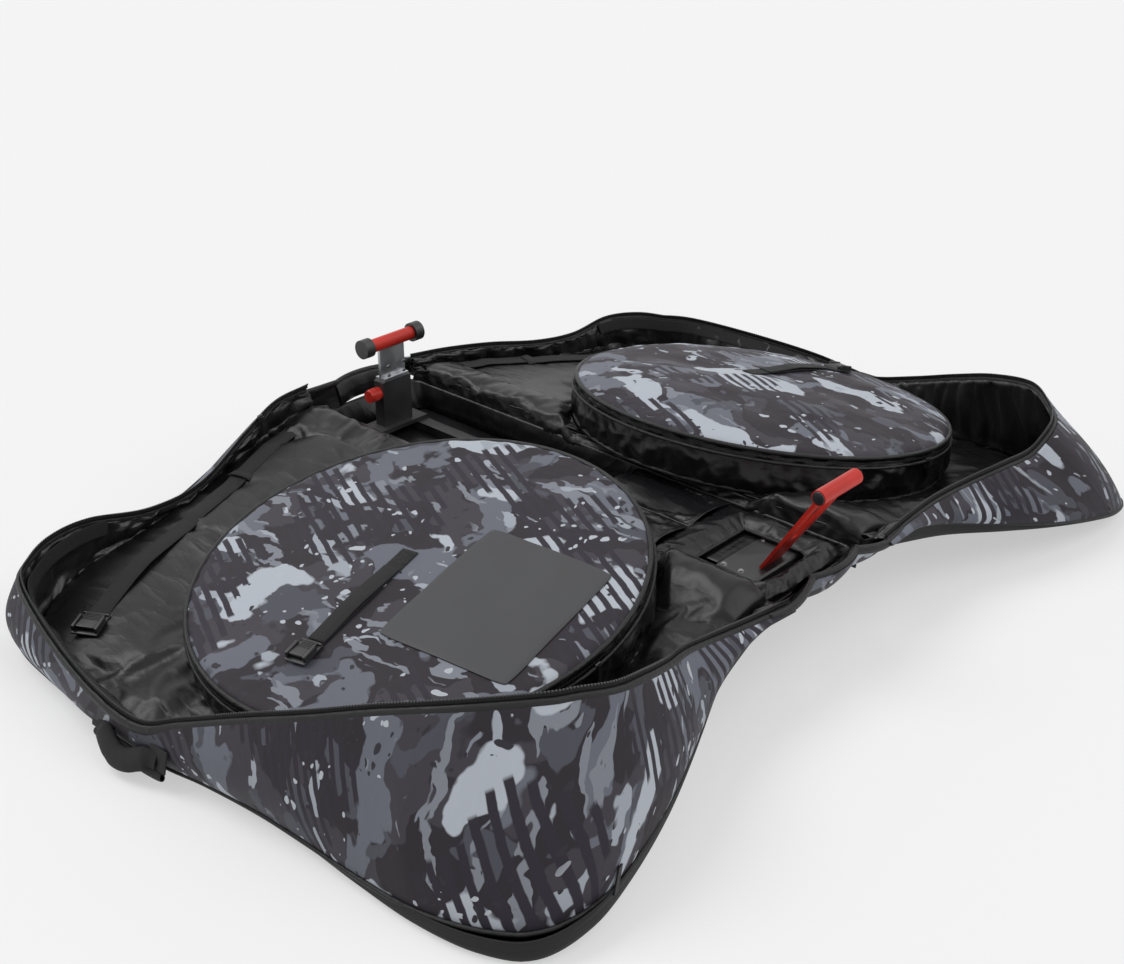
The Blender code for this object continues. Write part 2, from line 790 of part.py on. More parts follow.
def make_side_panel(prefix, side, parent):
    """Stiff outer panel of a half: a flat strip on the floor that slopes up to the tub."""
    plan = seam_plan()
    normals = plan_normals(plan)
    normals[0] = Vector((-1.0, 0.0))
    normals[-1] = Vector((1.0, 0.0))
    outline = [Vector(p) + n * panel_margin for p, n in zip(plan, normals)]
    bm = bmesh.new()
    verts = [bm.verts.new((p.x, side * p.y, 0.0)) for p in outline]
    bm.faces.new(verts)
    bmesh.ops.bisect_plane(bm, geom=bm.verts[:] + bm.edges[:] + bm.faces[:], dist=touch_gap / 10,
                           plane_co=(0, side * foot_out, 0), plane_no=(0, 1, 0))
    for vert in bm.verts:
        vert.co.z = panel_underside(abs(vert.co.y))
    bmesh.ops.recalc_face_normals(bm, faces=bm.faces)
    if bm.faces[:][0].normal.z > 0:
        bmesh.ops.reverse_faces(bm, faces=bm.faces)
    mesh = bpy.data.meshes.new(prefix + "side_panel")
    bm.to_mesh(mesh)
    bm.free()
    panel = add_piece(prefix + "side_panel", mesh, shell_black(), parent, smooth=False)
    pad = panel.modifiers.new("padding", 'SOLIDIFY')
    pad.thickness = panel_thickness
    pad.offset = -1.0
    pad.use_even_offset = True


def make_gusset(prefix, side, parent):
    for name, shares in (("gusset_rear", rear_wall_shares), ("gusset_top", top_wall_shares),
                         ("gusset_front", front_wall_shares)):
        mesh = loft_mesh(prefix + name, gusset_sections(shares, side))
        add_piece(prefix + name, mesh, camo(), parent)
    bead = rim_line(side, rim_bead_radius + seat_gap)
    add_piece(prefix + "rim_zip", tube_mesh(prefix + "rim_zip", bead, rim_bead_radius), plastic(), parent)


def make_pocket(prefix, side, parent, lid_parent):
    place = pocket_frame(side)
    inner = pocket_radius - pocket_wall
    low, high = touch_gap, touch_gap + pocket_depth
    band = turned_mesh(prefix + "pocket_band", [(pocket_radius, high), (pocket_radius, low),
                                                (inner, low), (inner, high)], 48)
    band.transform(place)
    add_piece(prefix + "pocket_band", band, lining(), parent)
    low = high + touch_gap
    high = low + lid_thickness
    dome = lid_dome_height(side)
    profile = [(pocket_radius * share, high + dome * rise) for share, rise in dome_rings()]
    profile += [(pocket_radius, high - lid_edge_round), (pocket_radius, low), (0.0, low)]
    lid = turned_mesh(prefix + "pocket_lid", profile, 48)
    lid.transform(place)
    add_piece(prefix + "pocket_lid", lid, camo(), lid_parent)


def lid_dome_height(side):
    """The left lid bulges over what its pocket holds; the right one lies nearly flat."""
    return lid_dome if side > 0 else lid_edge_round


def dome_rings():
    """Rings of a lid's dome, as shares of its radius and of its height."""
    rings = [(share, 1 - share ** 3) for share in (0.0, *dome_ring_shares)]
    return rings + [(1 - lid_edge_round / pocket_radius, 0.0)]


def dome_rise(away):
    """Share of the dome's height at a distance from the lid's middle."""
    share = away / pocket_radius
    for (inner, high), (outer, low) in zip(dome_rings(), dome_rings()[1:]):
        if share <= outer:
            return high + (low - high) * (share - inner) / (outer - inner)
    return 0.0


def lid_top(side, x, out):
    """Height of the lid's outer face at a plan place, dome included."""
    centre = lid_centre(side)
    lift = 0.0
    for _ in range(lid_settle_rounds):
        along = (out - abs(centre.y) - lift * math.sin(tilt)) / math.cos(tilt)
        lift = lid_dome_height(side) * dome_rise(math.hypot(x - centre.x, along))
    return centre.z - along * math.sin(tilt) + lift * math.cos(tilt)


def make_lid_strap(prefix, side, parent):
    """Short strap sewn to the middle of the lid, with a buckle at its free end."""
    centre = lid_centre(side)
    start = Vector((centre.x - lid_strap_width, abs(centre.y) - lid_strap_width))
    end = start + Vector(lid_strap_run_shares) * pocket_radius
    route = [tuple(start.lerp(end, k / lid_strap_steps)) for k in range(lid_strap_steps + 1)]

    def height(point):
        return lid_top(side, point.x, point.y) + seat_gap

    mesh = loft_mesh(prefix + "lid_strap", webbing_sections(route, lid_strap_width, height, side))
    add_piece(prefix + "lid_strap", mesh, webbing(), parent)
    run = (end - start).normalized()
    seat = end + run * (buckle_length / 2 + touch_gap)
    turn = math.atan2(run.y, run.x)
    slope = math.atan2(height(end + run * buckle_length) - height(end), buckle_length)
    bm = bmesh.new()
    add_block(bm, (-buckle_length / 2, -lid_strap_width / 2, 0.0),
              (buckle_length / 2, lid_strap_width / 2, buckle_height))
    bmesh.ops.bevel(bm, geom=bm.edges[:], offset=buckle_height / 5, segments=1, profile=0.5,
                    affect='EDGES', material=-1)
    middle = (height(end) + height(end + run * buckle_length)) / 2 + seat_gap
    place = (Matrix.Translation((seat.x, side * seat.y, middle)) @
             Matrix.Rotation(side * turn, 4, 'Z') @ Matrix.Rotation(-slope, 4, 'Y'))
    bmesh.ops.transform(bm, matrix=place, verts=bm.verts)
    add_piece(prefix + "lid_buckle", mesh_from(bm, prefix + "lid_buckle"), plastic(), parent,
              smooth=False)


def make_inner_strap(prefix, side, parent):
    """Long strap along the foot of the rear wall, with its buckle at the top corner."""
    route = [(forward(x), outward(y)) for x, y in inner_strap_shares]

    def height(point):
        return panel_top(point.y) + seat_gap

    mesh = loft_mesh(prefix + "inner_strap",
                     webbing_sections(route, inner_strap_width, height, side))
    add_piece(prefix + "inner_strap", mesh, webbing(), parent)
    before, end = Vector(route[-2]), Vector(route[-1])
    run = (end - before).normalized()
    seat = end + run * (buckle_length / 2 + seat_gap)
    bm = bmesh.new()
    add_block(bm, (-buckle_length / 2, -inner_strap_width / 2, 0.0),
              (buckle_length / 2, inner_strap_width / 2, buckle_height))
    bmesh.ops.bevel(bm, geom=bm.edges[:], offset=buckle_height / 5, segments=1, profile=0.5,
                    affect='EDGES', material=-1)
    place = Matrix.Rotation(side * math.atan2(run.y, run.x), 4, 'Z')
    bmesh.ops.transform(bm, matrix=place, verts=bm.verts)
    for vert in bm.verts:
        out = seat.y + side * vert.co.y
        vert.co.z += panel_top(out) + seat_gap
    bmesh.ops.translate(bm, verts=bm.verts, vec=(seat.x, side * seat.y, 0))
    add_piece(prefix + "inner_buckle", mesh_from(bm, prefix + "inner_buckle"), plastic(), parent,
              smooth=False)


def wall_outside(side, x, height):
    """How far out the top gusset's outer face lies at a place along it."""
    sections = gusset_sections(top_wall_shares, side)
    for one, two in zip(sections, sections[1:]):
        if one[0].x <= x <= two[0].x:
            share = (x - one[0].x) / (two[0].x - one[0].x)
            low, mid, top = (one[k].lerp(two[k], share) for k in (0, 1, 2))
            upper, lower = (mid, low) if height < mid.z else (top, mid)
            part = (height - lower.z) / (upper.z - lower.z)
            return abs(lower.lerp(upper, min(1.0, max(0.0, part))).y)
    return outer_edge


def handle_ends(side):
    """The grab handle's two sewn ends, each against the wall."""
    height = panel_thickness + handle_up
    ends = []
    for sense in (-1, 1):
        x = forward(handle_place_share) + sense * handle_length / 2
        places = (x, x - sense * 2 * handle_radius)
        out = max(wall_outside(side, place, height) for place in places)
        lean = (wall_outside(side, x, height + handle_end_radius) - out) / handle_end_radius
        reach = (handle_end_radius + touch_gap) * math.hypot(1.0, lean)
        ends.append(Vector((x, side * (out + reach), height)))
    return ends


def handle_axis(side):
    rear, front = handle_ends(side)
    return (rear + front) / 2


def make_handle(prefix, side, parent):
    """Padded grab handle that hangs from two sewn ends on the top edge."""
    pivot = parent.location
    rear, front = handle_ends(side)
    mirrored = [(-along, out, down, fat) for along, out, down, fat in reversed(handle_shape_shares)]
    shape = handle_shape_shares + [handle_middle_shares] + mirrored
    reach = outer_edge + handle_stand - handle_radius - abs(pivot.y)
    points = [pivot + (front - rear) * along + Vector((0, side * out * reach, -down * handle_drop))
              for along, out, down, _ in shape]
    radii = [handle_end_radius + (handle_radius - handle_end_radius) * fat for _, _, _, fat in shape]
    mesh = tube_mesh(prefix + "grab_handle", points, handle_radius, 2, radii)
    add_piece(prefix + "grab_handle", mesh, webbing(), parent)
    print_axis(prefix + "handle", front - rear)


def pull_mesh(name, pivot, along, down, out):
    """Flat zip pull that hangs from a pivot; along is the pivot's axis."""
    along, down, out = (Vector(v).normalized() for v in (along, down, out))
    bm = bmesh.new()
    add_block(bm, (-pull_width / 2, -pull_thickness / 2, -pull_thickness / 2),
              (pull_width / 2, pull_thickness / 2, pull_length))
    turn = Matrix((along, out, down)).transposed().to_4x4()
    bmesh.ops.transform(bm, matrix=Matrix.Translation(pivot) @ turn, verts=bm.verts)
    return mesh_from(bm, name)


def slider_mesh(name, centre, along, up, out):
    along, up, out = (Vector(v).normalized() for v in (along, up, out))
    bm = bmesh.new()
    add_block(bm, (-slider_length / 2, -slider_height / 2, -slider_width / 2),
              (slider_length / 2, slider_height / 2, slider_width / 2))
    bmesh.ops.bevel(bm, geom=bm.edges[:], offset=slider_height / 5, segments=1, profile=0.5,
                    affect='EDGES', material=-1)
    turn = Matrix((along, out, up)).transposed().to_4x4()
    bmesh.ops.transform(bm, matrix=Matrix.Translation(centre) @ turn, verts=bm.verts)
    return mesh_from(bm, name)


def pocket_slider_place(side):
    """Middle of the slider on the front of the pocket's band, just under the lid."""
    x = pocket_radius + slider_height / 2 + touch_gap * 2
    return pocket_frame(side) @ Vector((x, 0.0, pocket_depth - slider_width))


def pull_pivot(slider_centre, out):
    return slider_centre + Vector(out).normalized() * (slider_height / 2 + pull_thickness / 2 + seat_gap)


def make_pocket_zip(prefix, side, parent, pull_parent):
    place = pocket_frame(side).to_3x3()
    centre = pocket_slider_place(side)
    name = prefix + "pocket_zip_slider"
    mesh = slider_mesh(name, centre, place @ Vector((0, 1, 0)), place @ Vector((0, 0, 1)), (1, 0, 0))
    add_piece(name, mesh, steel_black(), parent, smooth=False)
    name = prefix + "pocket_zip_pull"
    mesh = pull_mesh(name, pull_parent.location, (0, 1, 0), (0, 0, -1), (1, 0, 0))
    add_piece(name, mesh, plastic(), pull_parent, smooth=False)


def seam_slider_spot(side):
    """Outer face of the front wall a little above the seam, and the way out from it."""
    sections = gusset_sections(front_wall_shares, side)
    one, two = sections[2], sections[3]
    low = one[0].lerp(two[0], seam_slider_place_share)
    mid = one[1].lerp(two[1], seam_slider_place_share)
    along = (two[0] - one[0]).normalized()
    point = low.lerp(mid, seam_slider_rise_share)
    up = (mid - low).normalized()
    out = along.cross(up).normalized()
    if out.x < 0:
        out = -out
    return point, along, up, out


def make_seam_zip(prefix, side, parent, pull_parent):
    point, along, up, out = seam_slider_spot(side)
    centre = point + out * (slider_height / 2 + seat_gap)
    name = prefix + "seam_zip_slider"
    add_piece(name, slider_mesh(name, centre, along, up, out), steel_black(), parent, smooth=False)
    name = prefix + "seam_zip_pull"
    mesh = pull_mesh(name, pull_parent.location, along, -up, out)
    add_piece(name, mesh, plastic(), pull_parent, smooth=False)
    print_axis(prefix + "seam_pull", along)


def seam_pull_pivot(side):
    point, _, _, out = seam_slider_spot(side)
    return pull_pivot(point + out * (slider_height / 2 + seat_gap), out)


def make_main_zip(parent, pull_parent):
    """Slider of the zip that closes the bag, parked on the right half's rim at the rear."""
    name = "main_zip_slider"
    add_piece(name, slider_mesh(name, *main_slider_frame()), steel_black(), parent, smooth=False)
    name = "main_zip_pull"
    _, along, _, out = main_slider_frame()
    mesh = pull_mesh(name, pull_parent.location, along, (0, 0, -1), out)
    add_piece(name, mesh, plastic(), pull_parent, smooth=False)
    print_axis("main_pull", along)


def main_slider_frame():
    """Centre, run, up and out of the parked slider, on the inner side of the rim bead."""
    one, two = rim_line(-1, rim_bead_radius + seat_gap)[1:3]
    flat = Vector((two.x - one.x, two.y - one.y, 0)).normalized()
    out = Vector((0, 0, 1)).cross(flat)
    if out.x < 0:
        out = -out
    up = out.cross(flat)
    centre = one.lerp(two, 0.5) + out * (rim_bead_radius + slider_height / 2 + seat_gap)
    return centre, flat, up if up.z > 0 else -up, out


base = body_empty("base", (0, 0, 0))
make_board(base)
make_tub(base)
make_mat(base)
make_end_wall("base_front_wall", base, tub_front(), 1)
make_end_wall("base_rear_wall", base, tub_rear(), -1)
make_chassis(base)
make_rear_stand(base)
make_tie_straps(base)

carriage = body_empty("carriage", (0, 0, 0))
make_fork_mount(carriage)
make_lever(body_empty("carriage_lever", lever_axis()))

for end_label, end_x in (("front", floor_front() - caster_inset_x),
                         ("rear", floor_rear() + caster_inset_x)):
    for side, side_label in ((-1, "right"), (1, "left")):
        label = end_label + "_" + side_label
        swivel = Vector((end_x, side * (tub_width / 2 - caster_inset_y), board_clearance))
        hub = Vector((end_x - caster_trail, swivel.y, wheel_radius))
        make_caster(label, body_empty("caster_" + label, swivel), body_empty("wheel_" + label, hub))

for side, prefix in ((-1, "right_"), (1, "left_")):
    half = body_empty(prefix + "half", (0, side * hinge_out, hinge_height))
    lid = body_empty(prefix + "lid", lid_hinge(side))
    handle = body_empty(prefix + "handle", handle_axis(side))
    pocket_pull = body_empty(prefix + "pocket_pull", pull_pivot(pocket_slider_place(side), (1, 0, 0)))
    seam_pull = body_empty(prefix + "seam_pull", seam_pull_pivot(side))
    make_side_panel(prefix, side, half)
    make_gusset(prefix, side, half)
    make_pocket(prefix, side, half, lid)
    make_lid_strap(prefix, side, lid)
    make_inner_strap(prefix, side, half)
    make_handle(prefix, side, handle)
    make_pocket_zip(prefix, side, half, pocket_pull)
    make_seam_zip(prefix, side, half, seam_pull)
    if side < 0:
        slider = main_slider_frame()
        main_pull = body_empty("main_pull", pull_pivot(slider[0], slider[3]))
        make_main_zip(half, main_pull)

# Print where each moving body's axis lies
for moving in bag.objects:
    if moving.type == 'EMPTY':
        print(moving.name, [round(v, 5) for v in moving.location])
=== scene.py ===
# Soft travel bag for a bicycle, laid open: the looks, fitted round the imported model.
# Metres, +Z up, X to the front of the bag, Y to its left. A length "out" is measured from
# the middle plane towards a half's outer edge; side is -1 on the right, +1 on the left.
import json
import math
import bpy
import bmesh
from mathutils import Matrix, Vector, noise
from mathutils.bvhtree import BVHTree


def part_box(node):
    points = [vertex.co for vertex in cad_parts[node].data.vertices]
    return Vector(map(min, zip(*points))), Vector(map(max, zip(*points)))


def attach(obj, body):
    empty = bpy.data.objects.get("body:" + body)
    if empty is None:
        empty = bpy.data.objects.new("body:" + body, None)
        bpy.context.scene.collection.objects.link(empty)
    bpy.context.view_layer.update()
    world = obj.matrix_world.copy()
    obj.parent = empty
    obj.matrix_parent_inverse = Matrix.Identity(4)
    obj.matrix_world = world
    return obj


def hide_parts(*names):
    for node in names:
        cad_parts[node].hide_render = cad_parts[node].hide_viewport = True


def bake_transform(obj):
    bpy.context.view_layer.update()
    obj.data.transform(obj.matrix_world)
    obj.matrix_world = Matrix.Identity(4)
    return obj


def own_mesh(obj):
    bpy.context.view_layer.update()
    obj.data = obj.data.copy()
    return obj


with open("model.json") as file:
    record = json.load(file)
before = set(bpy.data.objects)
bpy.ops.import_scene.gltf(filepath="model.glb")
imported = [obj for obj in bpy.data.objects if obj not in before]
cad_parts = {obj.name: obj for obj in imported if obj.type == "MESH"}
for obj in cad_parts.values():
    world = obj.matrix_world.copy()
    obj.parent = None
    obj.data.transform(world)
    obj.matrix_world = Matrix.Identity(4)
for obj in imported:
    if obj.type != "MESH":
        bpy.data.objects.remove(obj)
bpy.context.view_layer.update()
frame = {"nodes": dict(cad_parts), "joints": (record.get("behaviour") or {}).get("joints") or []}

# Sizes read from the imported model
panel_low, panel_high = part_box("left_side_panel")
tub_low, tub_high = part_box("base_tub")
mat_low, mat_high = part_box("tub_mat")
band_low, band_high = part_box("left_pocket_band")
rail_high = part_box("chassis_frame")[1]
hinge_places = {joint["name"]: Vector(joint["pos_m"]) for joint in frame["joints"] if "pos_m" in joint}
fold_place = hinge_places["left_fold"]

# Sizes that the shell follows
panel_margin = 0.008
panel_thickness = 0.012
foot_width = 0.103
wall_heights = {-1: 0.256, 1: 0.198}
pocket_radius = (band_high.x - band_low.x) / 2
pocket_forward = (band_high.x + band_low.x) / 2
pocket_depth = 0.078
pocket_overhang = 0.052
lid_thickness = 0.012
lid_domes = {-1: 0.007, 1: 0.036}

# Cloth sizes: a sheet's thickness, the walls' padding, how far the printed rim lies under the
# solids' rim, the half axes of the binding at the ends, the most that the band takes of a wall's
# height, how far the lining and the outer cloth lie off the panel, the bulge of the printed walls,
# the width of a weld, the piping's radius, the pitch of the zips' teeth, and the walls' grid
skin = 0.0025
wall_pad = 0.014
rim_drop = 0.008
rim_girth = (0.0052, 0.0080)
seam_share = 0.85
lining_lift = 0.006
dish_lift = 0.0014
wall_belly = 0.017
weld_gap = 0.00005
piping_girth = 0.0034
teeth_pitch = 0.0046
wall_columns = 330
wall_rows = 26

# Stations round a half, from the rear end of the fold line over the top edge to the front
# end: as shares the seam forward and out, the rim forward and out, and the rim's height on
# the right and on the left; then the band under the seam, right and left, in metres.
wall_stations = [
    (-1.000, 0.000, -0.990, 0.000, 0.190, 0.160, 0.034, 0.034),
    (-1.000, 0.110, -0.970, 0.115, 0.240, 0.200, 0.030, 0.030),
    (-0.970, 0.255, -0.925, 0.240, 0.215, 0.255, 0.024, 0.024),
    (-0.930, 0.410, -0.885, 0.385, 0.135, 0.260, 0.018, 0.018),
    (-0.915, 0.555, -0.877, 0.525, 0.190, 0.300, 0.014, 0.014),
    (-0.910, 0.690, -0.885, 0.670, 0.350, 0.420, 0.012, 0.012),
    (-0.870, 0.795, -0.850, 0.780, 0.440, 0.455, 0.012, 0.012),
    (-0.800, 0.875, -0.790, 0.861, 0.465, 0.430, 0.012, 0.012),
    (-0.695, 0.915, -0.695, 0.915, 0.465, 0.400, 0.012, 0.012),
    (-0.475, 0.930, -0.470, 0.960, 0.390, 0.345, 0.012, 0.012),
    (-0.245, 0.940, -0.245, 0.985, 0.325, 0.290, 0.012, 0.012),
    (-0.060, 0.935, -0.085, 0.980, 0.290, 0.250, 0.012, 0.012),
    (0.070, 0.920, 0.030, 0.950, 0.385, 0.290, 0.012, 0.012),
    (0.240, 0.910, 0.205, 0.915, 0.560, 0.490, 0.014, 0.012),
    (0.390, 0.910, 0.365, 0.885, 0.715, 0.690, 0.016, 0.012),
    (0.550, 0.915, 0.522, 0.842, 0.860, 0.880, 0.019, 0.012),
    (0.715, 0.915, 0.675, 0.790, 0.975, 1.000, 0.024, 0.012),
    (0.860, 0.895, 0.780, 0.710, 1.000, 1.000, 0.030, 0.012),
    (0.965, 0.845, 0.835, 0.645, 0.985, 0.990, 0.034, 0.012),
    (1.000, 0.755, 0.865, 0.575, 0.900, 0.920, 0.033, 0.012),
    (0.985, 0.650, 0.862, 0.500, 0.795, 0.730, 0.029, 0.013),
    (0.940, 0.515, 0.838, 0.415, 0.640, 0.600, 0.026, 0.016),
    (0.875, 0.380, 0.798, 0.325, 0.470, 0.440, 0.026, 0.022),
    (0.800, 0.240, 0.778, 0.220, 0.300, 0.320, 0.030, 0.030),
    (0.765, 0.110, 0.780, 0.115, 0.178, 0.220, 0.034, 0.036),
    (0.745, 0.000, 0.790, 0.000, 0.085, 0.130, 0.036, 0.038),
]
half_run = panel_high.x - panel_margin
fold_line = panel_low.y
outer_run = (panel_high.y - panel_margin - fold_line) / max(station[1] for station in wall_stations)
foot_out = fold_line + outer_run - foot_width
panel_slope = tub_high.z / (foot_out - fold_line)
tilt = math.atan(panel_slope)
pocket_out = fold_place.y - pocket_overhang + pocket_radius * math.cos(tilt)

prefixes = {-1: "right_", 1: "left_"}
upright = Vector((0, 0, 1))


def clamped(value):
    return min(1.0, max(0.0, value))


# Shading: short calls for nodes, and the groups that several finishes share

def add_node(tree, kind, inputs=None, **settings):
    """Make a node, set its options, and fill or link its inputs."""
    made = tree.nodes.new(kind)
    for key, value in settings.items():
        setattr(made, key, value)
    for key, value in (inputs or {}).items():
        if isinstance(value, bpy.types.NodeSocket):
            tree.links.new(value, made.inputs[key])
        else:
            made.inputs[key].default_value = value
    return made


def maths(tree, operation, one, two=0.0, three=0.0):
    return add_node(tree, "ShaderNodeMath", {0: one, 1: two, 2: three}, operation=operation).outputs[0]


def colour_mix(tree, mask, low, high):
    made = add_node(tree, "ShaderNodeMix", {0: mask, 6: low, 7: high}, data_type='RGBA')
    return made.outputs[2]


def shifted(tree, vector, offset):
    return add_node(tree, "ShaderNodeVectorMath", {0: vector, 1: offset}, operation='ADD').outputs[0]


def soft_step(tree, value, edge, width):
    made = add_node(tree, "ShaderNodeMapRange", {"Value": value, "From Min": edge - width,
                                                 "From Max": edge + width})
    return made.outputs["Result"]


def noise_value(tree, vector, scale, detail=2.0, rough=0.5, distortion=0.0):
    return add_node(tree, "ShaderNodeTexNoise", {"Vector": vector, "Scale": scale, "Detail": detail,
                                                 "Roughness": rough, "Distortion": distortion}).outputs[0]


def start_group(name, inputs, outputs):
    """Empty node group; inputs and outputs are pairs of a name and a socket type."""
    group = bpy.data.node_groups.new(name, 'ShaderNodeTree')
    for label, kind in inputs:
        group.interface.new_socket(label, in_out='INPUT', socket_type=kind)
    for label, kind in outputs:
        group.interface.new_socket(label, in_out='OUTPUT', socket_type=kind)
    return group, group.nodes.new("NodeGroupInput"), group.nodes.new("NodeGroupOutput")


def weave_group():
    """Height of a plain weave whose threads lie a pitch apart."""
    group, source, result = start_group("plain_weave", [("Vector", 'NodeSocketVector'),
                                                        ("Threads", 'NodeSocketFloat')],
                                        [("Height", 'NodeSocketFloat')])
    split = add_node(group, "ShaderNodeSeparateXYZ", {0: source.outputs["Vector"]})
    waves = []
    for axis in (0, 1):
        turns = maths(group, 'MULTIPLY', split.outputs[axis], source.outputs["Threads"])
        waves.append(maths(group, 'SINE', maths(group, 'MULTIPLY', turns, math.tau)))
    product = maths(group, 'MULTIPLY', waves[0], waves[1])
    group.links.new(product, result.inputs["Height"])
    return group


def crease_group():
    """Height of soft creases, stretched along one way of the cloth."""
    group, source, result = start_group("soft_creases", [("Vector", 'NodeSocketVector'),
                                                         ("Scale", 'NodeSocketFloat')],
                                        [("Height", 'NodeSocketFloat')])
    stretched = add_node(group, "ShaderNodeMapping", {"Vector": source.outputs["Vector"],
                                                      "Scale": (1.0, 2.6, 1.6)})
    broad = add_node(group, "ShaderNodeTexNoise", {"Vector": stretched.outputs[0],
                                                   "Scale": source.outputs["Scale"], "Detail": 2.0,
                                                   "Roughness": 0.5})
    ridge = maths(group, 'ABSOLUTE', maths(group, 'SUBTRACT', broad.outputs[0], 0.5))
    crest = maths(group, 'POWER', maths(group, 'SUBTRACT', 1.0, maths(group, 'MULTIPLY', ridge, 3.2)), 3.0)
    closer = maths(group, 'MULTIPLY', source.outputs["Scale"], 2.9)
    close = noise_value(group, stretched.outputs[0], closer, 2.0)
    thin = maths(group, 'ABSOLUTE', maths(group, 'SUBTRACT', close, 0.5))
    line = maths(group, 'POWER', maths(group, 'SUBTRACT', 1.0, maths(group, 'MULTIPLY', thin, 3.4)), 5.0)
    both = maths(group, 'ADD', crest, maths(group, 'MULTIPLY', line, 0.16))
    group.links.new(both, result.inputs["Height"])
    return group


def wear_group():
    """Slow change over a surface, for colour and roughness."""
    group, source, result = start_group("slow_wear", [("Vector", 'NodeSocketVector'),
                                                      ("Scale", 'NodeSocketFloat')],
                                        [("Mask", 'NodeSocketFloat'), ("Specks", 'NodeSocketFloat')])
    slow = add_node(group, "ShaderNodeTexNoise", {"Vector": source.outputs["Vector"],
                                                  "Scale": source.outputs["Scale"], "Detail": 2.0})
    fine = add_node(group, "ShaderNodeTexNoise", {
        "Vector": source.outputs["Vector"], "Detail": 2.0,
        "Scale": maths(group, 'MULTIPLY', source.outputs["Scale"], 14.0)})
    group.links.new(slow.outputs[0], result.inputs["Mask"])
    group.links.new(fine.outputs[0], result.inputs["Specks"])
    return group


def camo_group():
    """Layered grey camouflage: blobs, brushed streaks, slanted bars and splatter."""
    group, source, result = start_group("grey_camouflage", [("Vector", 'NodeSocketVector')],
                                        [("Color", 'NodeSocketColor')])
    plain = source.outputs["Vector"]
    warp = add_node(group, "ShaderNodeTexNoise", {"Vector": plain, "Scale": 13.0, "Detail": 3.0})
    centred = shifted(group, warp.outputs["Color"], (-0.5, -0.5, -0.5))
    push = add_node(group, "ShaderNodeVectorMath", {0: centred, "Scale": 0.070}, operation='SCALE')
    cloth = shifted(group, plain, push.outputs[0])

    def cover(scale, offset, edge, detail=1.0, distortion=0.0, stretch=(1, 1, 1), vector=None):
        place = add_node(group, "ShaderNodeMapping", {"Vector": vector or cloth, "Location": offset,
                                                      "Scale": stretch})
        value = noise_value(group, place.outputs[0], scale, detail, 0.5, distortion)
        return soft_step(group, value, edge, 0.006)

    colour = colour_mix(group, cover(8.5, (3, 1, 0), 0.53, 2.0), (0.025, 0.021, 0.027, 1),
                        (0.050, 0.046, 0.056, 1))
    colour = colour_mix(group, cover(8.0, (7, 4, 0), 0.56, 2.0, 0.4), colour, (0.140, 0.150, 0.182, 1))
    colour = colour_mix(group, cover(12.0, (1, 9, 0), 0.60, 2.0), colour, (0.075, 0.078, 0.096, 1))
    streak = cover(27.0, (5, 5, 0), 0.585, 2.0, 0.0, (0.35, 1.6, 1))
    near_streak = maths(group, 'MULTIPLY', streak, cover(4.0, (2, 6, 0), 0.53))
    colour = colour_mix(group, near_streak, colour, (0.22, 0.235, 0.27, 1))
    light = cover(6.8, (9, 2, 0), 0.597, 1.4, 0.4, (0.85, 1.1, 1))
    colour = colour_mix(group, light, colour, (0.46, 0.495, 0.55, 1))
    thin = cover(17.0, (4, 8, 0), 0.665, 1.5, 0.4, (0.6, 1.2, 1))
    colour = colour_mix(group, thin, colour, (0.36, 0.39, 0.44, 1))

    turned = add_node(group, "ShaderNodeMapping", {"Vector": plain, "Rotation": (0, 0, math.radians(24))})
    ragged = noise_value(group, plain, 30.0, 2.0)
    parts = add_node(group, "ShaderNodeSeparateXYZ", {0: turned.outputs[0]})
    across = maths(group, 'ADD', maths(group, 'MULTIPLY', parts.outputs[1], 52.0),
                   maths(group, 'MULTIPLY', ragged, 0.26))
    bar = soft_step(group, maths(group, 'PINGPONG', across, 0.5), 0.25, 0.03)
    lane = maths(group, 'FLOOR', across)
    ends = add_node(group, "ShaderNodeCombineXYZ", {0: parts.outputs[0],
                                                    1: maths(group, 'MULTIPLY', lane, 0.031)})
    patch = cover(4.6, (6, 3, 0), 0.575, 0.0, 0.0, (1, 1, 1), ends.outputs[0])
    bars = maths(group, 'MULTIPLY', bar, patch)
    colour = colour_mix(group, bars, colour, (0.026, 0.023, 0.032, 1))

    for scale, offset, gate, ink in ((70.0, (0.3, 0.1, 0), (8, 1, 0), (0.03, 0.028, 0.036, 1)),
                                     (58.0, (0.7, 0.5, 0), (3, 7, 0), (0.48, 0.51, 0.56, 1))):
        drops = add_node(group, "ShaderNodeTexVoronoi", {"Vector": shifted(group, cloth, offset),
                                                         "Scale": scale})
        size = add_node(group, "ShaderNodeSeparateColor", {0: drops.outputs["Color"]})
        reach = maths(group, 'MULTIPLY', maths(group, 'POWER', size.outputs[0], 3.0), 0.42)
        inside = maths(group, 'LESS_THAN', drops.outputs["Distance"], reach)
        spot = maths(group, 'MULTIPLY', inside, cover(6.0, gate, 0.50, 1.0))
        colour = colour_mix(group, spot, colour, ink)
    group.links.new(colour, result.inputs["Color"])
    return group


weave = weave_group()
creases = crease_group()
wear = wear_group()
camouflage = camo_group()


def add_group(tree, group, inputs):
    return add_node(tree, "ShaderNodeGroup", inputs, node_tree=group)


def start_material(name, **fixed):
    """Material with its shader's constant inputs set; returns it with its tree and shader."""
    made = bpy.data.materials.new(name)
    made.use_nodes = True
    tree = made.node_tree
    shader = tree.nodes["Principled BSDF"]
    for key, value in fixed.items():
        shader.inputs[key.replace("_", " ")].default_value = value
    return made, tree, shader


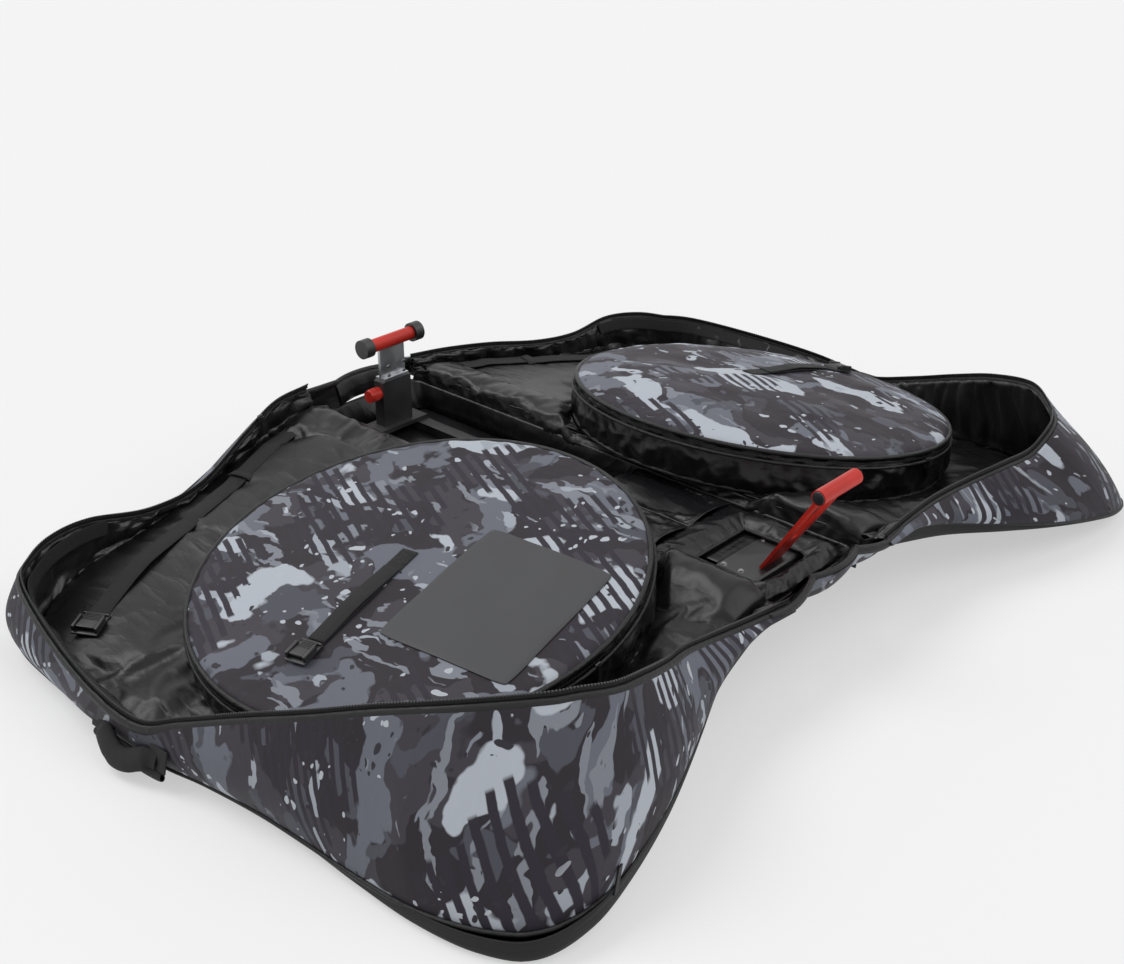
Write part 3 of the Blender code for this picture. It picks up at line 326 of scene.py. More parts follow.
def cloth_place(tree):
    return add_node(tree, "ShaderNodeUVMap", uv_map="cloth").outputs[0]


def object_place(tree):
    return add_node(tree, "ShaderNodeTexCoord").outputs["Object"]


def add_bump(tree, shader, heights):
    """Chain of bumps; heights are triples of a height, a strength and a distance."""
    normal = None
    for height, strength, distance in heights:
        inputs = {"Height": height, "Strength": strength, "Distance": distance}
        if normal:
            inputs["Normal"] = normal
        normal = add_node(tree, "ShaderNodeBump", inputs).outputs[0]
    tree.links.new(normal, shader.inputs["Normal"])


def vary(tree, shader, place, scale, dark, pale, low, high):
    """Colour and roughness that drift slowly over the surface."""
    drift = add_group(tree, wear, {"Vector": place, "Scale": scale})
    tone = soft_step(tree, drift.outputs["Mask"], 0.5, 0.16)
    tree.links.new(colour_mix(tree, tone, (*dark, 1), (*pale, 1)), shader.inputs["Base Color"])
    rough = add_node(tree, "ShaderNodeMapRange", {"Value": drift.outputs["Mask"], "From Min": 0.3,
                                                  "From Max": 0.7, "To Min": low, "To Max": high})
    tree.links.new(rough.outputs["Result"], shader.inputs["Roughness"])
    return drift


def camo_cloth():
    """Printed polyester: the camouflage, a fine weave and soft creases."""
    made, tree, shader = start_material("camo_cloth", Specular_IOR_Level=0.22)
    place = cloth_place(tree)
    print_colour = add_group(tree, camouflage, {"Vector": place})
    tree.links.new(print_colour.outputs["Color"], shader.inputs["Base Color"])
    drift = add_group(tree, wear, {"Vector": place, "Scale": 9.0})
    rough = add_node(tree, "ShaderNodeMapRange", {"Value": drift.outputs["Mask"], "To Min": 0.50,
                                                  "To Max": 0.66})
    tree.links.new(rough.outputs["Result"], shader.inputs["Roughness"])
    fine = add_group(tree, weave, {"Vector": place, "Threads": 900.0})
    fold = add_group(tree, creases, {"Vector": place, "Scale": 5.0})
    add_bump(tree, shader, [(fine.outputs[0], 0.20, 0.0003), (fold.outputs[0], 0.22, 0.004)])
    return made


def satin_cloth(name, dark, pale, low, high, crease, scale, specular):
    """Black nylon with a fine weave and creases."""
    made, tree, shader = start_material(name, Specular_IOR_Level=specular)
    place = cloth_place(tree)
    vary(tree, shader, place, 5.0, dark, pale, low, high)
    fine = add_group(tree, weave, {"Vector": place, "Threads": 1100.0})
    fold = add_group(tree, creases, {"Vector": place, "Scale": scale})
    add_bump(tree, shader, [(fine.outputs[0], 0.15, 0.0002), (fold.outputs[0], crease, 0.004)])
    return made


def ribbed_webbing():
    """Flat webbing with ribs across its length and a woven edge."""
    made, tree, shader = start_material("ribbed_webbing", Specular_IOR_Level=0.3)
    place = cloth_place(tree)
    vary(tree, shader, place, 20.0, (0.012, 0.012, 0.013), (0.021, 0.021, 0.022), 0.60, 0.80)
    rib = add_group(tree, weave, {"Vector": place, "Threads": 420.0})
    add_bump(tree, shader, [(rib.outputs[0], 0.7, 0.0006)])
    return made


def hard_finish(name, dark, pale, low, high, grain=260.0, bump=0.12, depth=0.0004, **fixed):
    """Moulded or painted surface with a fine grain, on the piece's own coordinates."""
    made, tree, shader = start_material(name, **fixed)
    place = object_place(tree)
    vary(tree, shader, place, 14.0, dark, pale, low, high)
    height = noise_value(tree, place, grain, 3.0)
    add_bump(tree, shader, [(height, bump, depth)])
    return made


def brushed_plate():
    """Light metal with fine lines brushed along it."""
    made, tree, shader = start_material("brushed_plate", Metallic=0.9)
    place = object_place(tree)
    vary(tree, shader, place, 20.0, (0.46, 0.47, 0.49), (0.60, 0.61, 0.63), 0.28, 0.42)
    lines = add_node(tree, "ShaderNodeMapping", {"Vector": place, "Scale": (40.0, 1.0, 40.0)})
    add_bump(tree, shader, [(noise_value(tree, lines.outputs[0], 30.0, 2.0), 0.25, 0.0003)])
    return made


camo = camo_cloth()
satin = satin_cloth("satin_lining", (0.006, 0.006, 0.007), (0.011, 0.011, 0.012), 0.25, 0.36,
                    0.35, 5.0, 0.30)
# The walls' lining is the same black nylon as satin_lining, painted lighter: painted light for the inner
# walls, which the lamps leave in shade.
wall_satin_painted_lighter = satin_cloth("wall_satin_painted_lighter", (0.015, 0.015, 0.016), (0.026, 0.026, 0.027), 0.24, 0.34,
                         0.35, 6.0, 0.42)
shell_cloth = satin_cloth("shell_cloth", (0.008, 0.008, 0.009), (0.014, 0.014, 0.015), 0.52, 0.70,
                          0.2, 4.0, 0.3)
binding_cloth = satin_cloth("binding_cloth", (0.007, 0.007, 0.008), (0.012, 0.012, 0.013), 0.42, 0.60,
                            0.2, 30.0, 0.35)
webbing = ribbed_webbing()
label_vinyl = hard_finish("label_vinyl", (0.038, 0.038, 0.041), (0.048, 0.049, 0.052), 0.55, 0.66)
buckle_plastic = hard_finish("buckle_plastic", (0.014, 0.014, 0.015), (0.026, 0.026, 0.028), 0.30, 0.48)
tooth_plastic = hard_finish("tooth_plastic", (0.020, 0.020, 0.021), (0.034, 0.034, 0.036), 0.24, 0.36)
powder_coat = hard_finish("powder_coat", (0.016, 0.016, 0.017), (0.028, 0.028, 0.030), 0.38, 0.55,
                          700.0, 0.3, 0.0004, Metallic=0.0, Coat_Weight=0.15)
zip_metal = hard_finish("zip_metal", (0.035, 0.035, 0.037), (0.060, 0.060, 0.063), 0.28, 0.42, 400.0, 0.1,
                        0.0003, Metallic=0.8)
signal_red = hard_finish("signal_red", (0.47, 0.020, 0.012), (0.60, 0.030, 0.018), 0.34, 0.48, 500.0, 0.1,
                         0.0003, Specular_IOR_Level=0.28, Coat_Weight=0.08, Coat_Roughness=0.2)
wheel_tread = hard_finish("wheel_tread", (0.085, 0.085, 0.090), (0.125, 0.125, 0.130), 0.50, 0.70,
                          600.0, 0.4)
bolt_steel = hard_finish("bolt_steel", (0.30, 0.30, 0.31), (0.42, 0.42, 0.43), 0.25, 0.40, 500.0, 0.1,
                         0.0002, Metallic=1.0)
plate_metal = brushed_plate()
tab_grey = hard_finish("tab_grey", (0.26, 0.265, 0.275), (0.34, 0.345, 0.355), 0.45, 0.60)


# Mesh making

def smooth_samples(points, count, fine=10):
    """Evenly spaced samples along a smooth curve through the points."""
    points = [Vector(point) for point in points]
    ends = [2 * points[0] - points[1]] + points + [2 * points[-1] - points[-2]]
    line = []
    for one, two, three, four in zip(ends, ends[1:], ends[2:], ends[3:]):
        for k in range(fine):
            t = k / fine
            line.append((2 * two + (three - one) * t + (2 * one - 5 * two + 4 * three - four) * t ** 2
                         + (3 * two - 3 * three + four - one) * t ** 3) / 2)
    line.append(points[-1])
    return even_samples(line, count)


def even_samples(line, count):
    """Evenly spaced samples along a broken line."""
    line = [Vector(point) for point in line]
    reach = [0.0]
    for one, two in zip(line, line[1:]):
        reach.append(reach[-1] + (two - one).length)
    samples = []
    index = 0
    for k in range(count + 1):
        want = reach[-1] * k / count
        while index < len(line) - 2 and reach[index + 1] < want:
            index += 1
        span = reach[index + 1] - reach[index] or 1.0
        samples.append(line[index].lerp(line[index + 1], min(1.0, (want - reach[index]) / span)))
    return samples


def line_length(points):
    return sum((Vector(two) - Vector(one)).length for one, two in zip(points, points[1:]))


def along(samples, share):
    """Value at a share of the way along a list of samples."""
    spot = min(max(share, 0.0), 1.0) * (len(samples) - 1)
    index = min(int(spot), len(samples) - 2)
    return samples[index].lerp(samples[index + 1], spot - index)


def sheet(columns, rows, place, flat, sewn=None):
    """Grid whose points come from place(u, v), with the flat cloth's own pattern places.
    sewn(u, v) tells which points a simulation holds."""
    bm = bmesh.new()
    layer = bm.loops.layers.uv.new("cloth")
    held = bm.verts.layers.float.new("sewn") if sewn else None
    bmesh.ops.create_grid(bm, x_segments=columns, y_segments=rows, size=0.5)
    shares = {vert: (vert.co.x + 0.5, vert.co.y + 0.5) for vert in bm.verts}
    for face in bm.faces:
        for loop in face.loops:
            loop[layer].uv = flat(*shares[loop.vert])
    for vert, (u, v) in shares.items():
        if sewn:
            vert[held] = 1.0 if sewn(u, v) else 0.0
        vert.co = place(u, v)
    return bm


def weld(bm):
    bmesh.ops.remove_doubles(bm, verts=bm.verts, dist=weld_gap)


def to_mesh(bm):
    mesh = bpy.data.meshes.new("piece")
    bm.to_mesh(mesh)
    bm.free()
    return mesh


def facing_out(bm):
    bmesh.ops.recalc_face_normals(bm, faces=bm.faces)
    return to_mesh(bm)


def grid_mesh(columns, rows, place, flat, closed=False, sewn=None):
    """Sheet as a mesh; a closed one is welded where its sides meet."""
    bm = sheet(columns, rows, place, flat, sewn)
    if closed:
        weld(bm)
    return facing_out(bm)


def add_piece(name, mesh, finish, body, replaced=(), thick=0.0, level=0, sharp=None, second=None):
    """Show a mesh as a piece that rides on a body. When second is given, the piece is fixed where it
    is made and rides on no body; what second holds is not used."""
    mesh.name = name
    piece = bpy.data.objects.new(name, mesh)
    bpy.context.scene.collection.objects.link(piece)
    mesh.materials.clear()
    mesh.materials.append(finish)
    mesh.shade_smooth()
    if sharp:
        mesh.set_sharp_from_angle(angle=math.radians(sharp))
    if thick:
        wall = piece.modifiers.new("thickness", 'SOLIDIFY')
        wall.thickness = thick
        wall.offset = -1.0
    if level:
        finer = piece.modifiers.new("finer", 'SUBSURF')
        finer.levels = finer.render_levels = level
    if second:
        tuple(second[1])
        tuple(second[2])
        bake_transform(piece)
    else:
        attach(piece, body)
    if replaced:
        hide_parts(*replaced)
    return piece


def path_frames(points, upward, closed=False):
    """Along, across and up at each point of a path; up leans towards upward."""
    frames = []
    count = len(points)
    for index in range(count):
        before = points[index - 1] if closed or index else points[0]
        after = points[(index + 1) % count] if closed or index < count - 1 else points[-1]
        run = (after - before).normalized()
        across = run.cross(upward).normalized()
        frames.append((run, across, across.cross(run)))
    return frames


def strip_mesh(points, section, upward=upright, closed=False):
    """Tube swept along points; section lists places across and up, all the way round."""
    frames = path_frames(points, upward, closed)
    columns = len(points) if closed else len(points) - 1
    rows = len(section)
    length = line_length(points)
    girth = [0.0]
    for one, two in zip(section, section[1:] + section[:1]):
        girth.append(girth[-1] + math.hypot(two[0] - one[0], two[1] - one[1]))

    def place(u, v):
        i = round(u * columns) % len(points)
        j = round(v * rows) % len(section)
        _, across, up = frames[i]
        return points[i] + across * section[j][0] + up * section[j][1]

    def flat(u, v):
        return u * length, girth[round(v * rows)]

    bm = sheet(columns, rows, place, flat)
    weld(bm)
    if not closed:
        bmesh.ops.holes_fill(bm, edges=bm.edges[:], sides=len(section))
    return facing_out(bm)


def ring_section(across, up, sides, centre=(0.0, 0.0)):
    """Oval section for a cord, piping or roll."""
    turns = [math.tau * k / sides for k in range(sides)]
    return [(centre[0] + across * math.cos(turn), centre[1] + up * math.sin(turn)) for turn in turns]


def box_section(width, height, edge):
    """Flat strap section with round edges."""
    half = width / 2
    return [(-half + edge, 0.0), (half - edge, 0.0), (half, height / 2), (half - edge, height),
            (-half + edge, height), (-half, height / 2)]


def add_box(bm, low, high, place=Matrix.Identity(4)):
    low, high = Vector(low), Vector(high)
    size = high - low
    spot = place @ Matrix.Translation((low + high) / 2) @ Matrix.Diagonal((*size, 1.0))
    bmesh.ops.create_cube(bm, size=1.0, matrix=spot)


def rounded_box(low, high, edge, place=Matrix.Identity(4), segments=3):
    bm = bmesh.new()
    add_box(bm, low, high)
    bmesh.ops.bevel(bm, geom=bm.edges[:], offset=edge, segments=segments, profile=0.5, affect='EDGES',
                    material=-1)
    bmesh.ops.transform(bm, matrix=place, verts=bm.verts)
    return facing_out(bm)


def turned(profile, place, steps=28):
    """Closed turned shape; the profile lists radius and height down its outer side."""
    bm = bmesh.new()
    verts = [bm.verts.new((radius, 0.0, height)) for radius, height in profile]
    for one, two in zip(verts, verts[1:]):
        bm.edges.new((one, two))
    if profile[0][0] > 0:
        bm.edges.new((verts[-1], verts[0]))
    bmesh.ops.spin(bm, geom=bm.verts[:] + bm.edges[:], axis=(0, 0, 1), cent=(0, 0, 0), steps=steps,
                   angle=math.tau, use_merge=True)
    bmesh.ops.remove_doubles(bm, verts=bm.verts, dist=0.00002)
    bmesh.ops.transform(bm, matrix=place, verts=bm.verts)
    return facing_out(bm)


def joined(meshes):
    """Several closed meshes as one piece of hardware."""
    bm = bmesh.new()
    for mesh in meshes:
        bm.from_mesh(mesh)
        bpy.data.meshes.remove(mesh)
    return to_mesh(bm)


def crumple(mesh, grow, cap, bend=0.3, frames=12):
    """Let loose cloth buckle between its seams: the cloth is grown a little and settles."""
    held = [value.value > 0.5 for value in mesh.attributes["sewn"].data]
    mesh.attributes.remove(mesh.attributes["sewn"])
    rest = [vert.co.copy() for vert in mesh.vertices]
    holder = bpy.data.objects.new("crumpled", mesh)
    bpy.context.scene.collection.objects.link(holder)
    group = holder.vertex_groups.new(name="sewn")
    group.add([index for index, fixed in enumerate(held) if fixed], 1.0, 'REPLACE')
    cloth = holder.modifiers.new("cloth", 'CLOTH')
    settings = cloth.settings
    settings.quality = 4
    settings.mass = 0.12
    settings.tension_stiffness = settings.compression_stiffness = 20.0
    settings.shear_stiffness = 8.0
    settings.bending_stiffness = bend
    settings.shrink_min = settings.shrink_max = -grow
    settings.vertex_group_mass = "sewn"
    settings.effector_weights.gravity = 0.0
    cloth.collision_settings.use_collision = False
    cloth.point_cache.frame_start = 1
    cloth.point_cache.frame_end = frames
    scene = bpy.context.scene
    for step in range(1, frames + 1):
        scene.frame_set(step)
    settled = holder.evaluated_get(bpy.context.evaluated_depsgraph_get())
    places = [vert.co.copy() for vert in settled.data.vertices]
    bpy.data.objects.remove(holder, do_unlink=True)
    scene.frame_set(1)
    for vert, start, end in zip(mesh.vertices, rest, places):
        move = end - start
        if move.length > cap:
            move = move.normalized() * cap
        vert.co = start + move
    mesh.update()


def surface_of(mesh):
    """Tree of a mesh, to find what a piece rests on."""
    bm = bmesh.new()
    bm.from_mesh(mesh)
    tree = BVHTree.FromBMesh(bm)
    bm.free()
    return tree


def ripple(point, scale, seed=0.0):
    """Smooth unevenness between -1 and 1."""
    return noise.noise(Vector(point) * scale + Vector((seed, seed * 0.7, -seed)))


def fold_line_height(point, scale, seed=0.0):
    """Height between -0.3 and 1 of long soft creases, with a crest where the noise crosses zero."""
    bent = Vector(point) * scale + Vector((seed, -seed, seed * 0.3))
    bent += Vector((noise.noise(bent * 0.6), noise.noise(bent * 0.6 + Vector((7, 3, 1))), 0.0)) * 0.7
    bent.y *= 0.55
    return 1.0 - 2.6 * min(0.5, abs(noise.noise(bent)))


# The shell's own shape

def panel_underside(out):
    return max(0.0, panel_slope * (foot_out - out))


def panel_top(out):
    sloped = panel_slope * (foot_out - out) + panel_thickness / math.cos(tilt)
    return max(panel_thickness, sloped)


def wall_ring(side):
    """Round a half: seam, rim, outward direction, foot, rim height and band height, in metres."""
    ring = []
    samples = smooth_samples(wall_stations, wall_columns)
    for index, share in enumerate(samples):
        before, after = samples[max(index - 3, 0)], samples[min(index + 3, wall_columns)]
        run = Vector(((after[0] - before[0]) * half_run, (after[1] - before[1]) * outer_run)).normalized()
        seam = Vector((share[0] * half_run, fold_line + max(share[1], 0.0) * outer_run))
        rim = Vector((share[2] * half_run, fold_line + max(share[3], 0.0) * outer_run))
        normal = Vector((-run.y, run.x))
        top = panel_top(seam.y) + share[4 if side < 0 else 5] * wall_heights[side] - rim_drop
        ring.append((seam, rim, normal, panel_underside(seam.y), top, share[6 if side < 0 else 7]))
    return ring


rings = {side: wall_ring(side) for side in (-1, 1)}


def ring_at(side, share):
    """Values of the half's ring at a share of the way round."""
    spot = min(max(share, 0.0), 1.0) * wall_columns
    index = min(int(spot), wall_columns - 1)
    part = spot - index
    one, two = rings[side][index], rings[side][index + 1]
    mixed = [a.lerp(b, part) for a, b in zip(one[:3], two[:3])]
    return mixed + [a + (b - a) * part for a, b in zip(one[3:], two[3:])]


def to_space(side, plan, height):
    return Vector((plan.x, side * plan.y, height))


def seam_level(foot, top, band):
    """Height of the sewn line between the black band and the printed wall."""
    return foot + min(band, (top - foot) * seam_share)


def outer_wall(side, share, rise, proud=0.0):
    """Point of the printed wall between the lower seam and the rim, both bulged out."""
    seam, rim, normal, foot, top, band = ring_at(side, share)
    level = seam_level(foot, top, band)
    begin = (level - foot) / max(top - foot, 0.001)
    height = begin + (1 - begin) * rise
    plan = seam.lerp(rim, height)
    belly = wall_belly * min(1.0, (top - foot) / 0.09) * math.sin(math.pi * rise ** 0.85)
    spread = 0.004 + 0.005 * (1 - rise) + belly + proud
    return to_space(side, plan + normal * spread, level + (top - level) * rise)


def inner_wall(side, share, drop, proud=0.0):
    """Point of the lining between the rim and the floor, padded towards the inside."""
    seam, rim, normal, _, top, _ = ring_at(side, share)
    floor = panel_top(seam.y) + lining_lift
    height = 1 - drop
    plan = rim.lerp(seam, drop)
    swell = wall_pad * math.sin(math.pi * min(1.0, drop * 1.05)) ** 0.7 if drop < 0.95 else 0.0
    heel = 0.020 * max(0.0, drop - 0.80) / 0.20
    spread = -(0.004 + swell + heel + proud)
    level = floor + (top - 0.002 - floor) * height ** 1.05
    return to_space(side, plan + normal * spread, level)


wall_length = line_length([0.5 * (r[0] + r[1]) for r in rings[-1]])


# Camera at the photograph's place, and the pale ground of the picture

camera_place = Vector((1.5292, -1.7655, 1.3121))
camera_pitch = 0.465395
camera_heading = -0.739234
camera_lens = 49.11
paper_white = (0.92, 0.92, 0.92, 1.0)


def make_camera():
    data = bpy.data.cameras.new("view")
    data.sensor_fit = 'HORIZONTAL'
    data.sensor_width = 36.0
    data.lens = camera_lens
    camera = bpy.data.objects.new("view", data)
    ahead = Vector((math.cos(camera_pitch) * math.sin(camera_heading),
                    math.cos(camera_pitch) * math.cos(camera_heading), -math.sin(camera_pitch)))
    camera.rotation_mode = 'QUATERNION'
    camera.rotation_quaternion = ahead.to_track_quat('-Z', 'Y')
    camera.location = camera_place
    bpy.context.scene.collection.objects.link(camera)
    bpy.context.scene.camera = camera


def make_sun(name, place, strength, spread):
    """Far lamp that shines from a direction, spread over an angle in degrees."""
    data = bpy.data.lights.new(name, 'SUN')
    data.energy = strength
    data.angle = math.radians(spread)
    lamp = bpy.data.objects.new(name, data)
    lamp.location = place
    lamp.rotation_mode = 'QUATERNION'
    lamp.rotation_quaternion = (-Vector(place)).to_track_quat('-Z', 'Y')
    bpy.context.scene.collection.objects.link(lamp)


def make_studio():
    """Pale floor under even light: soft light from all round and two broad lamps far away."""
    bm = bmesh.new()
    bmesh.ops.create_grid(bm, x_segments=1, y_segments=1, size=30.0)
    mesh = to_mesh(bm)
    floor = bpy.data.objects.new("floor", mesh)
    floor.location.z = -0.0005
    bpy.context.scene.collection.objects.link(floor)
    finish, tree, shader = start_material("pale_floor", Roughness=0.9, Specular_IOR_Level=0.05)
    shader.inputs["Base Color"].default_value = (0.90, 0.90, 0.90, 1.0)
    glow = add_node(tree, "ShaderNodeEmission", {"Color": paper_white, "Strength": 1.0})
    blend = add_node(tree, "ShaderNodeMixShader", {0: maths(tree, 'MULTIPLY', seen_share(tree), 0.55),
                                                   1: shader.outputs[0], 2: glow.outputs[0]})
    tree.links.new(blend.outputs[0], tree.nodes["Material Output"].inputs["Surface"])
    mesh.materials.append(finish)
    world = bpy.data.worlds.new("studio")
    world.use_nodes = True
    backdrop = world.node_tree.nodes["Background"]
    backdrop.inputs["Color"].default_value = paper_white
    strength = add_node(world.node_tree, "ShaderNodeMapRange", {"Value": seen_share(world.node_tree),
                                                                "To Min": 0.50, "To Max": 1.0})
    world.node_tree.links.new(strength.outputs["Result"], backdrop.inputs["Strength"])
    bpy.context.scene.world = world
    make_sun("key", (-1.00, -0.35, 1.60), 1.28, 34)
    make_sun("fill", (0.95, 0.60, 1.30), 0.78, 50)
    bpy.context.scene.view_settings.view_transform = 'Standard'


def seen_share(tree):
    """1 for rays from the camera, from gloss and through glass; 0 for the light on surfaces."""
    path = add_node(tree, "ShaderNodeLightPath")
    shiny = maths(tree, 'MAXIMUM', path.outputs["Is Glossy Ray"], path.outputs["Is Transmission Ray"])
    return maths(tree, 'MAXIMUM', path.outputs["Is Camera Ray"], shiny)


make_camera()
make_studio()


# Soft shell of each half; the wall is dented behind its handle
handle_forward, handle_dent = -0.080, 0.012


def make_wall(side, prefix):
    """Printed padded wall, all round the half."""

    def place(u, v):
        point = outer_wall(side, u, v)
        loose = math.sin(math.pi * v)
        dent = 0.005 * ripple(point, 7.0, 3.0 * side) + 0.003 * fold_line_height(point, 5.0, side)
        if abs(point.y) > 0.8:
            dent -= handle_dent * math.exp(-((point.x - handle_forward) / 0.085) ** 4)
        return point + (point - Vector((0, side * pocket_out, point.z))).normalized() * dent * loose

    def flat(u, v):
        foot, top, band = ring_at(side, u)[3:]
        return (top - seam_level(foot, top, band)) * v + 0.4 * side, u * wall_length + 0.2

    mesh = grid_mesh(wall_columns, wall_rows, place, flat)
    add_piece(prefix + "printed_wall", mesh, camo, prefix + "half",
              [prefix + "gusset_rear", prefix + "gusset_top", prefix + "gusset_front"],
              thick=skin, level=1)


def make_lining_wall(side, prefix):
    """Gathered lining on the inside of the wall."""

    def place(u, v):
        point = inner_wall(side, u, v)
        normal, foot, top = ring_at(side, u)[2:5]
        tall = min(1.0, (top - foot) / 0.12)
        pleat = noise.noise(Vector((u * wall_length * 25.0, v * 1.2, side * 4.0)))
        pleat += 0.5 * noise.noise(Vector((u * wall_length * 47.0, v * 2.4, side * 9.0)))
        depth = 0.011 * pleat * math.sin(math.pi * v) * (0.35 + 0.65 * tall)
        return point - to_space(side, normal, 0.0) * depth

    def flat(u, v):
        foot, top = ring_at(side, u)[3:5]
        return (top - foot) * v, u * wall_length

    mesh = grid_mesh(wall_columns, wall_rows, place, flat, False, lambda u, v: v < 0.03 or v > 0.97)
    crumple(mesh, 0.05, 0.010)
    # The wall lining takes the lining cloth painted lighter, as painted light on the inner walls.
    piece = add_piece(prefix + "wall_lining", mesh, wall_satin_painted_lighter, prefix + "half", thick=skin)


def make_dish(side, prefix):
    """Black coated shell: the half's underside and the low band round it."""
    ring = rings[side]
    middle = Vector((pocket_forward, pocket_out))
    fold_points = even_samples([ring[-1][0], ring[0][0]], 60)[1:-1]
    outline = [(r[0], r[2], r[3], seam_level(*r[3:]) - r[3], 0.005) for r in ring]
    outline += [(point, Vector((0.0, -1.0)), panel_underside(point.y), panel_thickness * 0.9, 0.0)
                for point in fold_points]
    count = len(outline)
    floor_rows, band_rows = 26, 8
    rows = floor_rows + band_rows

    def place(u, v):
        plan, normal, foot, height, curl = outline[round(u * count) % count]
        row = round(v * rows)
        if row <= floor_rows:
            spot = middle.lerp(plan, row / floor_rows)
            sag = 0.0012 * ripple((spot.x, spot.y, side), 5.0) * math.sin(math.pi * row / floor_rows)
            return to_space(side, spot, panel_underside(spot.y) + dish_lift + sag)
        rise = (row - floor_rows) / band_rows
        out = curl * math.sin(math.pi / 2 * min(1.0, rise * 2.2))
        return to_space(side, plan + normal * out, foot + dish_lift + height * rise ** 1.15)

    def flat(u, v):
        return u * wall_length, v * 0.5

    mesh = grid_mesh(count, rows, place, flat, True)
    add_piece(prefix + "shell_dish", mesh, shell_cloth, prefix + "half",
              [prefix + "side_panel"], thick=skin)


def floor_border(side):
    """Plan line from the pocket's rear crossing of the fold, round the wall, to its front one."""
    ring = rings[side]
    reach = math.sqrt(pocket_radius ** 2 - ((pocket_out - fold_line) / math.cos(tilt)) ** 2)
    inset = [r[0] - r[2] * 0.022 for r in ring]
    inset[0] = Vector((ring[0][0].x + 0.02, fold_line))
    inset[-1] = Vector((ring[-1][0].x - 0.01, fold_line))
    start = Vector((pocket_forward - reach, fold_line))
    finish = Vector((pocket_forward + reach, fold_line))
    return [start] + inset + [finish]


floors = {}


def make_floor_lining(side, prefix):
    """Loose lining on the panel, between the wheel pocket and the walls."""
    columns, rows = 340, 34
    border = even_samples(floor_border(side), columns)
    middle = Vector((pocket_forward, pocket_out))
    inner = pocket_radius - 0.006

    def place(u, v):
        edge = border[round(u * columns)]
        away = edge - middle
        near = middle + Vector((away.x, away.y * math.cos(tilt))).normalized() * inner
        spot = near.lerp(edge, v) if away.length > inner else edge
        swell = math.sin(math.pi * v)
        wide = min(1.0, (edge - near).length / 0.12)
        height = lining_lift + swell * wide * (0.007 + 0.004 * ripple((spot.x, spot.y, side), 7.0)
                                               + 0.004 * fold_line_height((spot.x, spot.y, side), 6.0, 2.0)
                                               + 0.001 * ripple((spot.x, spot.y, side + 5), 30.0))
        return to_space(side, spot, panel_top(spot.y) + height)

    def flat(u, v):
        point = place(u, v)
        return point.x, point.y

    mesh = grid_mesh(columns, rows, place, flat, False,
                     lambda u, v: v < 0.02 or v > 0.98 or u < 0.004 or u > 0.996)
    crumple(mesh, 0.020, 0.006, 2.0)
    floors[side] = surface_of(mesh)
    piece = add_piece(prefix + "floor_lining", mesh, satin, prefix + "half", thick=skin)


def make_rim(side, prefix):
    """Binding, zip tape and zip teeth along the rim, and the piping on the lower seam."""
    half = prefix + "half"
    ring = rings[side]
    rim = [to_space(side, r[1], r[4]) for r in ring]
    outward = [to_space(side, r[2], 0.0) for r in ring]
    section = ring_section(0.0052, 0.0085, 10, (0.0, -0.003))
    add_piece(prefix + "rim_binding", strip_mesh(rim, section), binding_cloth, half,
              [prefix + "rim_zip"], level=1)
    tape_low = [point - way * 0.003 + upright * 0.003 for point, way in zip(rim, outward)]
    tape_high = [point - way * 0.0045 + upright * 0.011 for point, way in zip(rim, outward)]

    def tape(u, v):
        index = round(u * wall_columns)
        return tape_low[index].lerp(tape_high[index], v)

    mesh = grid_mesh(wall_columns, 2, tape, lambda u, v: (u * wall_length, v * 0.01))
    add_piece(prefix + "rim_zip_tape", mesh, webbing, half, thick=0.0008)
    add_teeth(prefix + "rim_zip_teeth", tape_high, outward, half)
    seam = [outer_wall(side, k / wall_columns, 0.0, 0.0015) for k in range(wall_columns + 1)]
    add_piece(prefix + "band_piping", strip_mesh(seam, ring_section(piping_girth, piping_girth, 8)),
              binding_cloth, half)
    steps, tape_width = 90, 0.026
    low, high = [[inner_wall(side, 0.17 + 0.30 * k / steps, drop, 0.0035) for k in range(steps + 1)]
                 for drop in (0.30, 0.08)]

    def wall_tape(u, v):
        k = round(u * steps)
        return low[k] + (high[k] - low[k]).normalized() * tape_width * v

    mesh = grid_mesh(steps, 4, wall_tape, lambda u, v: (u * 0.6, v * tape_width))
    add_piece(prefix + "wall_tape", mesh, webbing, half, thick=0.0016, level=1)


def add_along(bm, spots, size, across_at):
    """Small boxes at spots in a row, each turned along the row; across_at(index, run) gives its side."""
    for index, spot in enumerate(spots):
        before, after = spots[max(index - 1, 0)], spots[min(index + 1, len(spots) - 1)]
        run = (after - before).normalized()
        across = across_at(index, run).normalized()
        place = Matrix((run, across, run.cross(across))).transposed().to_4x4()
        add_box(bm, [-s for s in size], size, Matrix.Translation(spot) @ place)


def add_teeth(name, line, outward, body):
    """Row of small zip teeth on the upper edge of a tape."""
    count = int(line_length(line) / teeth_pitch)
    ways = [along(outward, k / count) for k in range(count + 1)]
    bm = bmesh.new()
    add_along(bm, even_samples(line, count), (0.0014, 0.0011, 0.0009),
              lambda index, run: ways[index] - run * ways[index].dot(run))
    add_piece(name, facing_out(bm), tooth_plastic, body, sharp=40)


def add_stitches(name, lines, lift, body, finish, pitch=0.0062, size=(0.0019, 0.00035, 0.0003)):
    """Rows of stitches along lines; lift is the cloth's upward direction."""
    bm = bmesh.new()
    for line in lines:
        count = max(2, int(line_length(line) / pitch))
        add_along(bm, even_samples(line, count), size, lambda index, run: lift.cross(run))
    add_piece(name, facing_out(bm), finish, body)


def pocket_frame(side):
    """Matrix from the pocket's own upright frame to its sloped seat on the panel."""
    centre = Vector((pocket_forward, side * pocket_out, panel_top(pocket_out)))
    return Matrix.Translation(centre) @ Matrix.Rotation(-side * tilt, 4, 'X')


